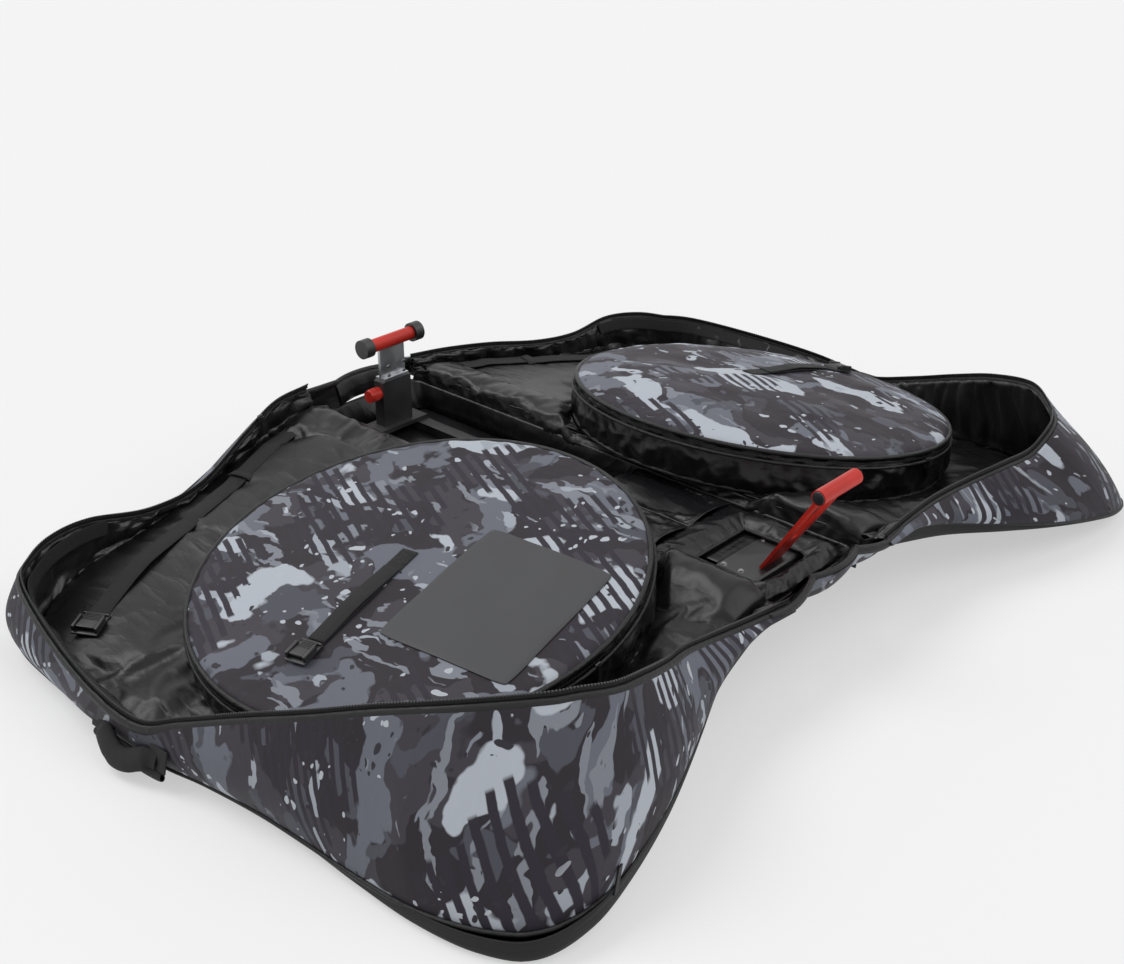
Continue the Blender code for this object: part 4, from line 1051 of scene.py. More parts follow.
def drawn_in(side, across):
    """0 to 1 at the side of a wheel pocket that comes close to the tub; across is -1 to 1."""
    return clamped((-side * across - 0.5) / 0.35)


def make_pocket_band(side, prefix):
    """Soft round wall of the wheel pocket with its floor, its zip and three lines of piping."""
    half = prefix + "half"
    seat = pocket_frame(side)
    columns, rows = 288, 14
    top = pocket_depth

    def place(u, v):
        turn = math.tau * u
        radial = Vector((math.cos(turn), math.sin(turn), 0.0))
        belly = 0.007 * math.sin(math.pi * v)
        fold = 0.0055 * noise.noise(radial * 8.0 + Vector((0, 0, v * 2.2 + side))) * math.sin(math.pi * v)
        fold += 0.004 * noise.noise(radial * 19.0 + Vector((0, 0, v * 4.0 - side))) * math.sin(math.pi * v)
        reach = pocket_radius - 0.004 - 0.008 * drawn_in(side, radial.y) + belly + fold
        return seat @ (radial * reach + Vector((0, 0, 0.001 + top * v)))

    def flat(u, v):
        return u * math.tau * pocket_radius, v * top

    mesh = grid_mesh(columns, rows, place, flat, True, lambda u, v: v < 0.03 or v > 0.97)
    crumple(mesh, 0.05, 0.007)
    piece = add_piece(prefix + "pocket_wall", mesh, satin, half, [prefix + "pocket_band"],
                      thick=skin, level=1)
    up = seat.to_3x3() @ upright

    def floor(u, v):
        turn = math.tau * u
        reach = (pocket_radius - 0.005 - 0.008 * drawn_in(side, math.sin(turn))) * v
        spot = Vector((reach * math.cos(turn), reach * math.sin(turn), 0.0))
        puffed = 0.010 + 0.004 * math.sin(math.pi * v) * (0.6 + 0.4 * ripple((spot.x, spot.y, side), 9.0))
        return seat @ (spot + Vector((0, 0, puffed)))

    def floor_flat(u, v):
        return v * math.cos(math.tau * u) * 0.35, v * math.sin(math.tau * u) * 0.35

    mesh = grid_mesh(120, 30, floor, floor_flat, True)
    piece = add_piece(prefix + "pocket_floor", mesh, satin, half, thick=0.002)

    def circle(reach, level, drawn=0.0):
        line = []
        for k in range(columns):
            turn = math.tau * k / columns
            radius = pocket_radius + reach - drawn * drawn_in(side, math.sin(turn))
            line.append(seat @ Vector((radius * math.cos(turn), radius * math.sin(turn), level)))
        return line

    for label, level, reach, drawn, girth, body in (
            ("foot_piping", 0.006, -0.002, 0.009, 0.0035, half),
            ("band_edge_piping", top - 0.010, 0.0045, 0.0, 0.0030, half),
            ("lid_piping", top + 0.006, -0.0005, 0.0, 0.0042, prefix + "lid")):
        mesh = strip_mesh(circle(reach, level, drawn), ring_section(girth, girth, 8), up, True)
        add_piece(prefix + label, mesh, binding_cloth, body)
    line = circle(0.0035, top - 0.002)
    line.append(line[0])
    add_teeth(prefix + "pocket_zip_teeth", line, [up] * len(line), half)


def lid_height(side, share, x, y):
    """Height of a lid's cloth over its flat top, at a share of its radius."""
    dome = lid_domes[side] * (1 - share ** 3)
    lump = (0.010 if side > 0 else 0.0022) * (1 - share ** 4)
    wave = ripple((x, y, side), 6.5) + 0.5 * ripple((x, y, side + 3), 15.0)
    pucker = 0.0014 * math.sin(46 * math.atan2(y, x) + 4 * ripple((x, y, 2), 9.0)) * share ** 14
    edge = -0.006 * max(0.0, (share - 0.965) / 0.035) ** 2
    return dome + lump * wave + pucker + edge


lid_level = pocket_depth + lid_thickness - 0.001


def on_lid(side, x, out, lift=0.0):
    """Point over a lid's cloth; x and out are measured from the middle of the lid."""
    share = min(1.0, math.hypot(x, out) / pocket_radius)
    level = lid_level + lid_height(side, share, x, side * out) + lift
    return pocket_frame(side) @ Vector((x, side * out, level))


def make_lid(side, prefix):
    """Printed lid of the wheel pocket, and the lining inside it."""
    seat = pocket_frame(side)
    columns, rows, lining_share = 192, 44, 0.975

    def spot(u, v):
        away = pocket_radius * (v ** 0.8)
        return away * math.cos(math.tau * u), away * math.sin(math.tau * u)

    def place(u, v):
        x, y = spot(u, v)
        return seat @ Vector((x, y, lid_level + lid_height(side, v ** 0.8, x, y)))

    def flat(u, v):
        x, y = spot(u, v)
        return x + 1.3 * side + 0.1, y + 0.7

    mesh = grid_mesh(columns, rows, place, flat, True)
    piece = add_piece(prefix + "lid_cloth", mesh, camo, prefix + "lid",
                      [prefix + "pocket_lid"], thick=0.006, level=1)

    def inside(u, v):
        x, y = spot(u, v * lining_share)
        level = lid_level + lid_height(side, (v * lining_share) ** 0.8, x, y) - 0.0062
        return seat @ Vector((x, y, level))

    mesh = grid_mesh(96, 24, inside, flat, True)
    add_piece(prefix + "lid_lining", mesh, satin, prefix + "lid", thick=0.001)


def strap_mesh(points, width, thick, upward):
    return strip_mesh(points, box_section(width, thick, thick * 0.45), upward)


def make_buckle(name, replaced, place, body, width=0.036, length=0.046, height=0.013):
    """Cam buckle: a body with two cheeks, a pin, and a lever with ridges."""
    half = width / 2
    rear, front = -length * 0.42, length * 0.20
    parts = [rounded_box((-length / 2, -half, 0.0), (length / 2, half, 0.0032), 0.0013),
             rounded_box((rear, -half, 0.002), (front, -half + 0.005, height), 0.0016),
             rounded_box((rear, half - 0.005, 0.002), (front, half, height), 0.0016)]
    seat = Matrix.Translation((-length * 0.30, 0, height * 0.72))
    lever = seat @ Matrix.Rotation(math.radians(7), 4, 'Y')
    parts.append(rounded_box((-0.003, -half + 0.0058, -0.002), (length * 0.74, half - 0.0058, 0.002),
                             0.0014, lever))
    for k in range(5):
        spot = length * (0.34 + 0.075 * k)
        parts.append(rounded_box((spot, -half + 0.008, 0.0012), (spot + 0.0016, half - 0.008, 0.0030),
                                 0.0005, lever, 1))
    bar = bmesh.new()
    across = Matrix.Translation((length * 0.43, 0, 0.004)) @ Matrix.Rotation(math.pi / 2, 4, 'X')
    bmesh.ops.create_cone(bar, cap_ends=True, segments=14, radius1=0.0022, radius2=0.0022,
                          depth=width * 0.96, matrix=across)
    parts.append(facing_out(bar))
    mesh = joined(parts)
    mesh.transform(place)
    add_piece(name, mesh, buckle_plastic, body, replaced, sharp=35)


def facing_frame(spot, run, up):
    """Matrix with its X along run, its Z near up, at a spot."""
    run = run.normalized()
    across = up.cross(run).normalized()
    made = Matrix((run, across, run.cross(across))).transposed().to_4x4()
    return Matrix.Translation(spot) @ made


def sewn_box(name, points, width, upward, body):
    """Box and cross of stitches over one end of a strap."""
    corners = []
    frames = path_frames(points, upward)
    for index in (0, -1):
        _, across, up = frames[index]
        for way in (-0.38, 0.38):
            corners.append(points[index] + across * way * width + up * 0.0004)
    a, b, c, d = corners
    add_stitches(name, [[a, b], [b, d], [d, c], [c, a], [a, d], [b, c]], upward, body, tooth_plastic,
                 0.0042, (0.0014, 0.0003, 0.0002))


def make_lid_strap(side, prefix):
    """Doubled strap over the wheel lid, sewn down at its inner end, with its buckle."""
    lid = prefix + "lid"
    up = pocket_frame(side).to_3x3() @ upright
    start, finish = Vector((-0.030, -0.016)), Vector((0.010, 0.214))

    def run_of(begin, end, lift, count=40, wave=0.0):
        points = []
        for k in range(count + 1):
            spot = start.lerp(finish, begin + (end - begin) * k / count)
            rise = lift + wave * math.sin(math.pi * k / count) ** 2
            points.append(on_lid(side, spot.x, spot.y, rise))
        return points

    mesh = strap_mesh(run_of(0.0, 1.04, 0.0008), 0.030, 0.0016, up)
    add_piece(prefix + "lid_webbing", mesh, webbing, lid, [prefix + "lid_strap"])
    mesh = strap_mesh(run_of(0.20, 0.97, 0.0027, wave=0.0035), 0.029, 0.0015, up)
    add_piece(prefix + "lid_webbing_return", mesh, webbing, lid)
    sewn_box(prefix + "lid_strap_stitches", run_of(0.02, 0.14, 0.0027, 6), 0.030, up, lid)
    end = on_lid(side, 0.0145, 0.234, 0.0022)
    before = on_lid(side, 0.010, 0.214, 0.0022)
    place = facing_frame(end, before - end, up)
    make_buckle(prefix + "lid_cam_buckle", [prefix + "lid_buckle"], place, lid)


def make_label(side, prefix):
    """Bare sewn panel on the lid, with a stitched edge."""
    round_off, inset = 0.055, 0.022
    lid = prefix + "lid"
    corners = [Vector(spot) for spot in ((0.036, -0.128), (0.268, -0.144), (0.300, 0.120), (0.068, 0.146))]

    def spot(u, v):
        a, b = 2 * u - 1, 2 * v - 1
        a, b = a * math.sqrt(1 - round_off * b ** 8), b * math.sqrt(1 - round_off * a ** 8)
        u, v = (a + 1) / 2, (b + 1) / 2
        return corners[0].lerp(corners[1], u).lerp(corners[3].lerp(corners[2], u), v)

    def place(u, v):
        plan = spot(u, v)
        edge = min(u, v, 1 - u, 1 - v)
        return on_lid(side, plan.x, plan.y, 0.0018 - 0.0012 * max(0.0, 1 - edge / 0.03) ** 2)

    mesh = grid_mesh(44, 48, place, lambda u, v: (u * 0.23, v * 0.26))
    add_piece(prefix + "label_panel", mesh, label_vinyl, lid, thick=0.0012, level=1)
    line = []
    for k in range(160):
        t = k / 40
        walk = (t % 1) * (1 - 2 * inset) + inset
        u, v = ((walk, inset), (1 - inset, walk), (1 - walk, 1 - inset), (inset, 1 - walk))[int(t)]
        plan = spot(u, v)
        line.append(on_lid(side, plan.x, plan.y, 0.0022))
    line.append(line[0])
    up = pocket_frame(side).to_3x3() @ upright
    add_stitches(prefix + "label_stitches", [line], up, lid, tab_grey)


def resting(side, share_forward, share_out, lift):
    """Point on the lining of a half's floor."""
    x, out = share_forward * half_run, fold_line + share_out * outer_run
    hit = floors[side].ray_cast(Vector((x, side * out, 0.5)), Vector((0, 0, -1)))[0]
    level = hit.z if hit else panel_top(out) + lining_lift
    return Vector((x, side * out, max(level, panel_top(out) + lining_lift) + lift))


def make_inner_strap(side, prefix):
    """Long compression strap near the rear end, its keeper loop and its buckle."""
    half = prefix + "half"
    route = [(-0.93, -0.02), (-0.91, 0.05), (-0.88, 0.16), (-0.82, 0.32), (-0.77, 0.47), (-0.72, 0.62),
             (-0.66, 0.74), (-0.61, 0.815)]
    steps = 90
    plan = smooth_samples([Vector((a, b, 0)) for a, b in route], steps)
    points = []
    for k, spot in enumerate(plan):
        bow = 0.004 + 0.006 * max(0.0, math.sin(k / steps * math.tau * 1.5 + 0.6)) ** 2
        points.append(resting(side, spot.x, max(spot.y, 0.0), bow))
    for _ in range(8):
        heights = [p.z for p in points]
        for k in range(1, len(points) - 1):
            points[k].z = max(heights[k], (heights[k - 1] + heights[k + 1]) / 2)
    mesh = strap_mesh(points, 0.034, 0.0018, upright)
    add_piece(prefix + "inner_webbing", mesh, webbing, half, [prefix + "inner_strap"])
    spot, run = points[34], (points[35] - points[33]).normalized()
    across = run.cross(upright).normalized()
    loop = []
    for k in range(25):
        turn = math.pi * (k / 24)
        loop.append(spot + across * 0.0225 * math.cos(turn) + upright * (0.0055 * math.sin(turn) - 0.0012))
    keeper = strip_mesh(loop, [(-0.009, 0.0), (0.009, 0.0), (0.009, 0.0014), (-0.009, 0.0014)])
    add_piece(prefix + "strap_keeper", keeper, webbing, half)
    place = facing_frame(points[-1] + upright * 0.0015, points[-4] - points[-1], upright)
    make_buckle(prefix + "inner_cam_buckle", [prefix + "inner_buckle"], place, half, 0.044, 0.050)


def make_handle(side, prefix):
    """Padded grab handle, the pad behind it and its sewn ends."""
    low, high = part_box(prefix + "grab_handle")
    reach, end_x = side * (high.y if side > 0 else low.y), (low.x + 0.006, high.x - 0.006)
    ends = high.z - 0.003
    spans = [(0.0, -0.029, 0.002), (0.10, -0.026, 0.001), (0.20, -0.020, -0.004), (0.32, -0.0145, -0.011),
             (0.42, -0.012, -0.015), (0.50, -0.011, -0.016)]
    spans += [(1 - share, out, fall) for share, out, fall in spans[-2::-1]]
    route = [Vector((end_x[0] + (end_x[1] - end_x[0]) * share, side * (reach + out), ends + fall))
             for share, out, fall in spans]
    steps, sides = 60, 16
    points = smooth_samples(route, steps)
    frames = path_frames(points, Vector((0, side, 0.6)))

    def place(u, v):
        k = round(u * steps)
        _, across, up = frames[k]
        grip = min(1.0, max(0.0, (0.5 - abs(u - 0.5)) / 0.10 - 0.6))
        grip = grip * grip * (3 - 2 * grip)
        thick, wide = 0.0026 + 0.0068 * grip, 0.0130 + 0.0045 * grip
        turn = math.tau * v
        crease = 1 + 0.06 * noise.noise(Vector((u * 14, math.cos(turn) * 2, math.sin(turn) * 2 + side)))
        return points[k] + across * wide * crease * math.cos(turn) + up * thick * crease * math.sin(turn)

    mesh = grid_mesh(steps, sides, place, lambda u, v: (u * 0.2, v * 0.06), True)
    piece = add_piece(prefix + "handle_grip", mesh, webbing, prefix + "handle",
                      [prefix + "grab_handle"], level=1)
    outward = Vector((0, side, 0.25))
    wall = side * (reach - 0.031)

    def backing(u, v):
        x = low.x - 0.006 + (high.x - low.x + 0.012) * u
        belly = math.sin(math.pi * u) ** 0.6
        turn = math.tau * v
        return Vector((x, wall + side * (0.004 + (0.004 + 0.0020 * belly) * math.cos(turn)),
                       0.022 + (0.006 + 0.010 * belly) * math.sin(turn)))

    mesh = grid_mesh(40, 18, backing, lambda u, v: (u * 0.16, v * 0.08), True)
    piece = add_piece(prefix + "handle_backing", mesh, webbing, prefix + "half", level=1)
    for tag, index in (("rear", 0), ("front", -1)):
        place = facing_frame(points[index] - Vector((0, side * 0.0025, -0.002)), Vector((1, 0, 0)), outward)
        mesh = rounded_box((-0.019, -0.017, -0.0012), (0.019, 0.017, 0.0018), 0.0012, place)
        add_piece(prefix + tag + "_handle_patch", mesh, webbing, prefix + "half", sharp=50)


# Base, between the halves: the tub's ends at its floor, how far they slant out up to the rim, the
# level at which loose cloth lies over the tub's edge, and a level given with a half to the flaps, which
# add_piece does not use
tub_rear, tub_rear_slant = -0.5718, 0.0300
tub_front, tub_front_slant = 0.3847, 0.0660
tub_steps = 260
cover_level = 0.1252
bend_level = 0.124
rail_bolts_forward = (-0.5628, -0.5378, -0.0940, 0.1870)


def tub_edge(level, inset):
    """Closed plan line of the tub at a height level from 0, its floor, to 1, its rim."""
    rear = tub_rear - tub_rear_slant * level + inset
    front = tub_front + tub_front_slant * level - inset
    wide, corner = tub_high.y - inset, 0.030 - inset * 0.6
    line = []
    for x, y, first in ((front - corner, wide - corner, 0), (rear + corner, wide - corner, 90),
                        (rear + corner, corner - wide, 180), (front - corner, corner - wide, 270)):
        for k in range(9):
            turn = math.radians(first + 90 * k / 8)
            line.append(Vector((x + corner * math.cos(turn), y + corner * math.sin(turn), 0.0)))
    line.append(line[0].copy())
    return even_samples(line, tub_steps)[:-1]


def make_tub():
    """Fabric-covered tub: shell, lining, quilted mat and edge binding."""
    count = tub_steps
    low, high = tub_low.z, tub_high.z
    floor_rows, outer_rows, gap = 6, 12, 0.0004
    outer = [tub_edge(k / outer_rows, 0.0) for k in range(outer_rows + 1)]

    def shell(u, v):
        index = round(u * count) % count
        row = round(v * (outer_rows + floor_rows))
        if row < floor_rows:
            point = outer[0][index]
            middle = Vector(((tub_low.x + tub_high.x) / 2, 0.0, 0.0))
            return middle.lerp(point, row / floor_rows) + Vector((0, 0, low + gap))
        level = (row - floor_rows) / outer_rows
        point = outer[row - floor_rows][index].copy()
        point.z = low + gap + (high - low) * level
        return point

    mesh = grid_mesh(count, outer_rows + floor_rows, shell, lambda u, v: (u * 2.5, v * 0.2), True)
    add_piece("tub_shell", mesh, shell_cloth, "base", ["base_tub"], thick=0.0022)

    rows, lining_foot = 14, 0.0712
    inner = [tub_edge(k / rows, 0.0055) for k in range(rows + 1)]

    def lining(u, v):
        index = round(u * count) % count
        row = round(v * rows)
        point = inner[row][index].copy()
        puff = math.sin(math.pi * v)
        inward = Vector((max(-0.5, min(0.32, point.x)), 0.0, 0.0)) - point
        pleat = 0.5 + 0.5 * noise.noise(Vector((u * 70, v * 2, 3)))
        point += inward.normalized() * puff * (0.0035 + 0.005 * pleat)
        point.z = lining_foot + (high - lining_foot) * v
        return point

    mesh = grid_mesh(count, rows, lining, lambda u, v: (v * 0.06, u * 2.5), True)
    piece = add_piece("tub_lining", mesh, satin, "base", thick=skin)

    def mat(u, v):
        x = mat_low.x + (mat_high.x - mat_low.x) * u
        y = mat_low.y + (mat_high.y - mat_low.y) * v
        lanes = max(0.0, abs(math.sin(math.pi * (y / 0.075 + 0.5))))
        free = 1.0 if abs(abs(y) - 0.05) > 0.017 else 0.0
        swell = free * (0.0022 * lanes + 0.0016 * ripple((x, y, 1.0), 22.0))
        edge = min(u, 1 - u, v, 1 - v)
        return Vector((x, y, mat_low.z + 0.0034 + max(0.0, swell) * min(1.0, edge / 0.03)))

    mesh = grid_mesh(180, 46, mat, lambda u, v: (u * 0.93, v * 0.23))
    piece = add_piece("quilted_mat", mesh, satin, "base", ["tub_mat"], thick=0.003)

    rim = [Vector((p.x, p.y, high - 0.0042)) for p in tub_edge(1.0, 0.0015)]
    mesh = strip_mesh(rim, ring_section(0.0038, 0.0042, 10), upright, True)
    add_piece("tub_binding", mesh, binding_cloth, "base")


def make_fold_flap(side, prefix):
    """Puffed lining that covers the fold between the tub and a half."""
    start, finish = -0.592, 0.444
    path = [(0.1185, 0.092, 0.0), (0.1215, 0.112, 0.10), (0.1250, 0.1265, 0.35), (0.1330, 0.1385, 0.80),
            (0.1480, 0.1412, 1.0), (0.1690, 0.1390, 0.97), (0.1930, 0.1345, 0.80), (0.2180, 0.1290, 0.42),
            (0.2400, 0.1250, 0.0)]
    columns, rows = 230, 30
    line = smooth_samples([Vector(p) for p in path], rows)

    def place(u, v):
        x = start + (finish - start) * u
        out, height, puffed = line[round(v * rows)]
        clear = clamped((abs(x - pocket_forward) - 0.195) / 0.05)
        ends = min(1.0, min(u, 1 - u) / 0.03)
        past_pocket = math.hypot(x - pocket_forward, (out - pocket_out) / math.cos(tilt)) - pocket_radius
        full = clear * math.sqrt(ends) * clamped((past_pocket - 0.002) / 0.02)
        ahead = clamped((x - 0.20) / 0.08) * (1.0 if side < 0 else 0.4)
        puff = puffed * full * (0.014 + 0.015 * ahead + 0.003 * ripple((x, 2.0, side), 8.0))
        slant = (x + 0.9 * out, 2.2 * out - 0.8 * x, side)
        fold = 0.0030 * fold_line_height(slant, 11.0, 1.0) + 0.0016 * ripple(slant, 34.0)
        base = panel_top(out) + lining_lift + 0.002 if out > fold_line + 0.02 else height
        level = max(base, height) + puff + fold * full * math.sin(math.pi * v)
        if past_pocket < 0.0 and out > 0.13:
            level = min(level, panel_top(out) + 0.002)
        return Vector((x, side * out, level))

    mesh = grid_mesh(columns, rows, place, lambda u, v: (u * 1.04, v * 0.13), False,
                     lambda u, v: v < 0.05 or v > 0.95)
    crumple(mesh, 0.02, 0.004, 1.0)
    piece = add_piece(prefix + "fold_flap", mesh, satin, "base", thick=skin,
                      second=(prefix + "half", (0, side * 0.124, bend_level), (0, side * 0.152, bend_level)))


def squared_off(value):
    return math.copysign(abs(value) ** 0.7, value)


def make_end_pad(tag, outward):
    """Low padded wall across one end of the tub: lined inside, printed outside."""
    low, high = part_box("base_" + tag + "_wall")
    middle = (low.x + high.x) / 2
    columns, sides = 40, 20
    lean = outward * (0.026 if outward > 0 else 0.012)

    def bowed(u):
        return outward * 0.014 * (1 - (2 * u - 1) ** 2)

    def place(u, v):
        y = low.y + (high.y - low.y) * u
        turn = math.tau * v
        thick = 0.0058 + 0.0012 * abs(math.sin(math.pi * u * 3))
        rise = (high.z - low.z) / 2
        x = middle + thick * squared_off(math.cos(turn))
        z = low.z + rise + rise * squared_off(math.sin(turn)) - 0.001
        dent = 0.0012 * ripple((x, y, z), 40.0)
        return Vector((x + dent + bowed(u) + lean * (z - low.z) / (high.z - low.z), y, z))

    mesh = grid_mesh(columns, sides, place, lambda u, v: (u * 0.124, v * 0.09), True)
    piece = add_piece(tag + "_pad", mesh, satin, "base", ["base_" + tag + "_wall"], level=1)

    def face(u, v):
        bow = 0.0075 + 0.0025 * math.sin(math.pi * v)
        return Vector((middle + outward * bow + bowed(u) + lean * v, low.y + (high.y - low.y) * u,
                       low.z - 0.006 + (high.z - low.z + 0.004) * v))

    mesh = grid_mesh(columns, 8, face, lambda u, v: (v * 0.05 + 0.9, u * 0.124 + outward))
    add_piece(tag + "_pad_print", mesh, camo, "base", thick=0.0018, level=1)
    steps = 20
    top = [Vector((middle + outward * 0.002 + bowed(k / steps) + lean, low.y + (high.y - low.y) * k / steps,
                   high.z)) for k in range(steps + 1)]
    mesh = strip_mesh(top, ring_section(*rim_girth, 10, (0.0, -0.003)))
    add_piece(tag + "_pad_binding", mesh, binding_cloth, "base")
    for side in (-1, 1):
        make_end_flap(tag, outward, side, middle, low, high, lean)


def make_end_flap(tag, outward, side, middle, low, high, lean):
    """Folding gusset from an end pad to the end of a half's wall."""
    prefix = prefixes[side]
    index, inner = (0, 6) if tag == "rear" else (wall_columns, wall_columns - 6)
    seam = rings[side][index][0]
    next_ring = rings[side][inner]
    wall_foot = Vector((seam.x, side * (next_ring[0].y + 0.002), panel_top(fold_line) - 0.010))
    wall_rim = Vector((next_ring[1].x, side * next_ring[1].y, next_ring[4]))
    begin_foot = Vector((middle, side * (high.y - 0.004), low.z - 0.005))
    begin_rim = Vector((middle + outward * 0.002 + lean, side * (high.y - 0.006), high.z))
    columns, rows = 26, 12

    def place(u, v, proud=0.0):
        bottom, crest = begin_foot.lerp(wall_foot, u), begin_rim.lerp(wall_rim, u)
        crest.z -= 0.006 * math.sin(math.pi * u)
        point = bottom.lerp(crest, v)
        bow = 0.010 * math.sin(math.pi * u)
        fold = 0.0025 * noise.noise(Vector((u * 4, v * 2, side)))
        fold *= math.sin(math.pi * u) * math.sin(math.pi * v)
        point.x += outward * (bow + fold + proud)
        return point

    shift = (prefix + "half", (0, side * (high.y + 0.002), bend_level),
             (0, side * (fold_line - 0.004), bend_level))
    mesh = grid_mesh(columns, rows, place, lambda u, v: (u * 0.08, v * 0.045))
    piece = add_piece(prefix + tag + "_end_flap", mesh, satin, "base", thick=0.0016, level=1, second=shift)
    mesh = grid_mesh(columns, rows, lambda u, v: place(u, v, 0.0045),
                     lambda u, v: (v * 0.045 + 0.9, outward + 0.13 + side * u * 0.08))
    add_piece(prefix + tag + "_flap_print", mesh, camo, "base", thick=0.0018, level=1, second=shift)
    crest = [place(k / columns, 1.0, 0.0015) + Vector((0, 0, 0.001)) for k in range(columns + 1)]
    mesh = strip_mesh(crest, ring_section(*rim_girth, 10, (0.0, -0.003)))
    add_piece(prefix + tag + "_flap_binding", mesh, binding_cloth, "base", second=shift)


def make_tub_cover(side, prefix):
    """Loose cloth over the rails between the wheel pockets."""
    rear, front, wide = -0.030, 0.201, 0.1110
    foot = rail_high.z + 0.004

    def place(u, v):
        x, y = rear + (front - rear) * u, wide * (v if side > 0 else v - 1)
        across = abs(y) / wide
        rise = min(1.0, u / 0.14)
        level = foot + (cover_level - foot) * rise * rise * (3 - 2 * rise)
        loose = math.sin(math.pi * across) * rise
        height = 0.010 + 0.005 * fold_line_height((x, y * 1.6, 3.0), 8.0, 4.0)
        height += 0.004 * ripple((x, y, 1.5), 11.0)
        return Vector((x, y, level + loose * height))

    mesh = grid_mesh(90, 46, place, lambda u, v: (u * 0.23, v * 0.12), False,
                     lambda u, v: v < 0.03 or v > 0.97 or u < 0.012 or u > 0.985)
    crumple(mesh, 0.04, 0.006)
    for vert in mesh.vertices:
        over_carriage = vert.co.x > 0.13 and abs(vert.co.y) < 0.066
        vert.co.z = max(vert.co.z, 0.1250 if over_carriage else rail_high.z + 0.003)
    piece = add_piece(prefix + "tub_cover", mesh, satin, "base", thick=0.002)
    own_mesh(piece)


def make_carriage_collar():
    """Puffed cloth from the tub's edge to the opening in which the fork bracket slides, and the
    apron that the carriage carries behind it."""
    outer = [(0.198, -0.1125), (0.405, -0.1125), (0.428, -0.103), (0.4365, -0.060), (0.4365, 0.060),
             (0.428, 0.103), (0.405, 0.1125), (0.198, 0.1125)]
    inner = [(0.273, -0.078), (0.385, -0.078), (0.398, -0.069), (0.402, -0.040), (0.402, 0.030),
             (0.398, 0.044), (0.385, 0.051), (0.273, 0.051)]
    pairs = []
    for k, count in enumerate((44, 8, 10, 24, 10, 8, 44, 48)):
        for step in range(count):
            share, after = step / count, (k + 1) % 8
            pairs.append((Vector(outer[k]).lerp(Vector(outer[after]), share),
                          Vector(inner[k]).lerp(Vector(inner[after]), share)))
    columns = len(pairs)

    def place(u, v):
        edge, hole = pairs[round(u * columns) % columns]
        spot = edge.lerp(hole, v)
        swell = math.sin(math.pi * v)
        slant = (spot.x + 0.7 * spot.y, 2.0 * spot.y - 0.6 * spot.x, 3.0)
        height = swell * (0.011 + 0.004 * fold_line_height(slant, 10.0, 4.0) + 0.0015 * ripple(slant, 30.0))
        base = cover_level - 0.004 * clamped((abs(spot.y) - 0.085) / 0.025)
        return Vector((spot.x, spot.y, base + 0.0025 * v + height))

    mesh = grid_mesh(columns, 18, place, lambda u, v: (u * 0.8, v * 0.06), True,
                     lambda u, v: v < 0.04 or v > 0.95)
    crumple(mesh, 0.03, 0.005, 1.0)
    rear, right, left, lowest = 0.205, -0.074, 0.066, 0.1255
    for vert in mesh.vertices:
        if vert.co.x > rear and right < vert.co.y < left:
            vert.co.z = max(vert.co.z, lowest)
    piece = add_piece("carriage_collar", mesh, satin, "base", thick=0.002)
    edge = [place(k / columns, 1.0) for k in range(columns)]
    mesh = strip_mesh(edge, ring_section(0.0028, 0.0028, 8), upright, True)
    add_piece("collar_piping", mesh, binding_cloth, "base")
    low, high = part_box("fork_carriage")

    def apron(u, v):
        x, y = low.x - 0.078 + 0.080 * u, 0.056 * (2 * v - 1)
        return Vector((x, y, high.z + 0.0007 + 0.0003 * math.sin(x * 500) * math.sin(math.pi * v)))

    mesh = grid_mesh(40, 12, apron, lambda u, v: (u * 0.08, v * 0.11))
    add_piece("carriage_apron", mesh, satin, "carriage", thick=0.0006)


def make_tie_strap(side, prefix):
    """Slack strap that lies in the tub."""
    low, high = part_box("tie_down_strap_" + prefix[:-1])
    y = (low.y + high.y) / 2
    steps = 70
    points = []
    for k in range(steps + 1):
        t = k / steps
        x = high.x + (low.x - high.x) * t
        points.append(Vector((x, y + side * 0.0018 * math.sin(7 * t), low.z + 0.0006
                              + 0.0006 * (1 + math.sin(math.tau * 2.4 * t + side)))))
    mesh = strap_mesh(points, high.y - low.y, 0.0014, upright)
    add_piece(prefix + "tie_webbing", mesh, webbing, "base",
              ["tie_down_strap_" + prefix[:-1]])


def dress(finish, *nodes):
    """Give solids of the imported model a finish."""
    for node in nodes:
        for holding in frame["nodes"][node].material_slots:
            holding.link = 'OBJECT'
            holding.material = finish


def bolt(place, radius=0.004, height=0.0026):
    """Flanged six-sided bolt head, its axis along Z."""
    bm = bmesh.new()
    for sides, wide, narrow, tall, level in ((20, 1.35, 1.25, 0.3, 0.15), (6, 1.0, 0.94, 0.8, 0.65)):
        bmesh.ops.create_cone(bm, cap_ends=True, segments=sides, radius1=radius * wide,
                              radius2=radius * narrow, depth=height * tall,
                              matrix=Matrix.Translation((0, 0, height * level)))
    bmesh.ops.transform(bm, matrix=place, verts=bm.verts)
    return facing_out(bm)


def at_side(place, side):
    """Seat at a place whose Z points out to a side."""
    return Matrix.Translation(place) @ Matrix.Rotation(-side * math.pi / 2, 4, 'X')


def add_heads(name, meshes, finish, body, sharp):
    add_piece(name, joined(meshes), finish, body, sharp=sharp)


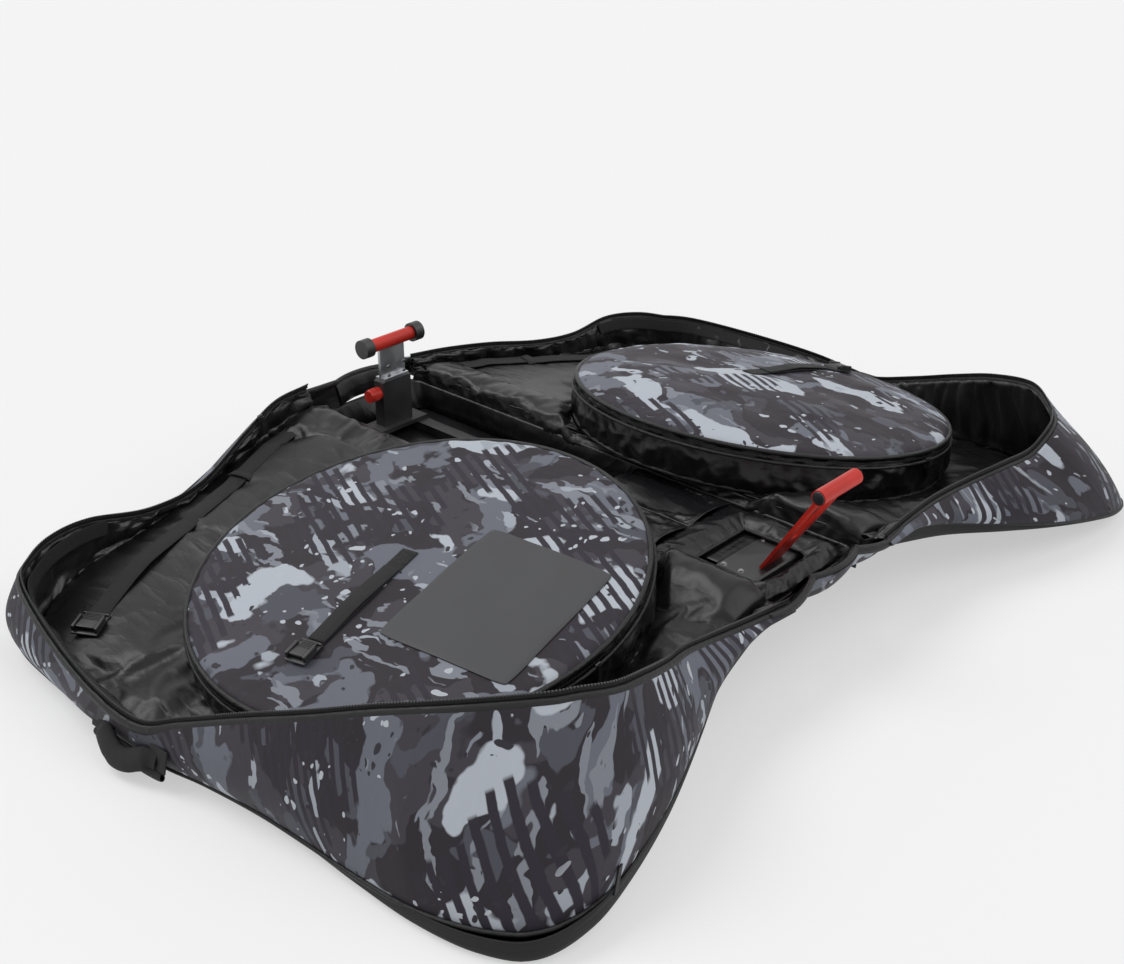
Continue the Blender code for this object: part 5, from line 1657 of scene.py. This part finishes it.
def make_hardware():
    """Finishes of the rigid parts, and the small fasteners on them."""
    dress(powder_coat, "base_board", "chassis_frame", "rear_stand", "fork_carriage")
    dress(plate_metal, "rear_stand_plate")
    dress(signal_red, "rear_axle", "stand_lock_knob", "fork_bracket", "fork_bar", "carriage_lock_lever")
    dress(buckle_plastic, "rear_axle_collar_right", "rear_axle_collar_left")
    dress(zip_metal, "main_zip_slider", "main_zip_pull")
    for side in (-1, 1):
        prefix = prefixes[side]
        dress(zip_metal, *(prefix + place + "_zip_" + part for place in ("pocket", "seam")
                           for part in ("slider", "pull")))
        for end in ("front_", "rear_"):
            dress(powder_coat, "caster_fork_" + end + prefix[:-1])
            dress(wheel_tread, "caster_wheel_" + end + prefix[:-1])
            make_hub(end, prefix)
    carriage_low, carriage_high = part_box("fork_carriage")
    heads = [bolt(Matrix.Translation((x, side * 0.053, carriage_high.z)))
             for x in (carriage_low.x + 0.012, carriage_low.x + 0.045) for side in (-1, 1)]
    add_heads("carriage_bolts", heads, bolt_steel, "carriage", 30)
    heads = [bolt(Matrix.Translation((x, side * 0.050, rail_high.z - 0.0002)), 0.0036)
             for x in rail_bolts_forward for side in (-1, 1)]
    add_heads("rail_bolts", heads, bolt_steel, "base", 30)
    plate_low, plate_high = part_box("rear_stand_plate")
    to_front = Matrix.Rotation(math.pi / 2, 4, 'Y')
    heads = [bolt(Matrix.Translation((plate_high.x - 0.0002, side * 0.019, z)) @ to_front, 0.0030, 0.0022)
             for side in (-1, 1) for z in (plate_low.z + 0.012, plate_low.z + 0.030)]
    add_heads("plate_bolts", heads, bolt_steel, "base", 30)
    bar_low, bar_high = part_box("fork_bar")
    centre = (bar_low + bar_high) / 2
    radius = (bar_high.z - bar_low.z) / 2
    profile = [(0.0, 0.0022), (radius * 0.55, 0.0022), (radius * 0.80, 0.0014), (radius * 0.86, 0.0),
               (0.0, 0.0)]
    caps = [turned(profile, at_side((centre.x, side * bar_high.y, centre.z), side)) for side in (-1, 1)]
    add_heads("fork_bar_caps", caps, buckle_plastic, "carriage", 40)
    knob_low, knob_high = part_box("stand_lock_knob")
    centre = (knob_low + knob_high) / 2
    radius = (knob_high.z - knob_low.z) / 2
    ribs = []
    for k in range(20):
        place = (at_side(centre, -1) @ Matrix.Rotation(math.tau * k / 20, 4, 'Z')
                 @ Matrix.Translation((radius - 0.0002, 0, 0)))
        ribs.append(rounded_box((-0.0006, -0.0009, -0.008), (0.0010, 0.0009, 0.008), 0.0004, place, 1))
    add_heads("knob_ribs", ribs, signal_red, "base", 40)


def make_hub(end, prefix):
    """Hub discs on a caster wheel, and the nuts of its axle."""
    tag = end + prefix[:-1]
    low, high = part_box("caster_wheel_" + tag)
    centre = (low + high) / 2
    profile = [(0.0, 0.0008), (0.006, 0.0008), (0.0125, 0.0004), (0.0135, -0.0010), (0.0, -0.0010)]
    discs = [turned(profile, at_side((centre.x, centre.y + side * (high.y - low.y) / 2, centre.z), side))
             for side in (-1, 1)]
    add_heads("wheel_hub_" + tag, discs, tab_grey, "wheel_" + tag, 40)
    fork_low, fork_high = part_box("caster_fork_" + tag)
    nuts = [bolt(at_side((centre.x, edge, centre.z), side), 0.0034, 0.0024)
            for side, edge in ((-1, fork_low.y), (1, fork_high.y))]
    add_heads("caster_nuts_" + tag, nuts, bolt_steel, "caster_" + tag, 30)


for side in (-1, 1):
    for make in (make_wall, make_lining_wall, make_dish, make_floor_lining, make_rim, make_pocket_band,
                 make_lid, make_lid_strap, make_inner_strap, make_handle, make_fold_flap, make_tie_strap,
                 make_tub_cover):
        make(side, prefixes[side])
make_label(-1, prefixes[-1])
make_tub()
make_carriage_collar()
make_end_pad("rear", -1)
make_end_pad("front", 1)
make_hardware()
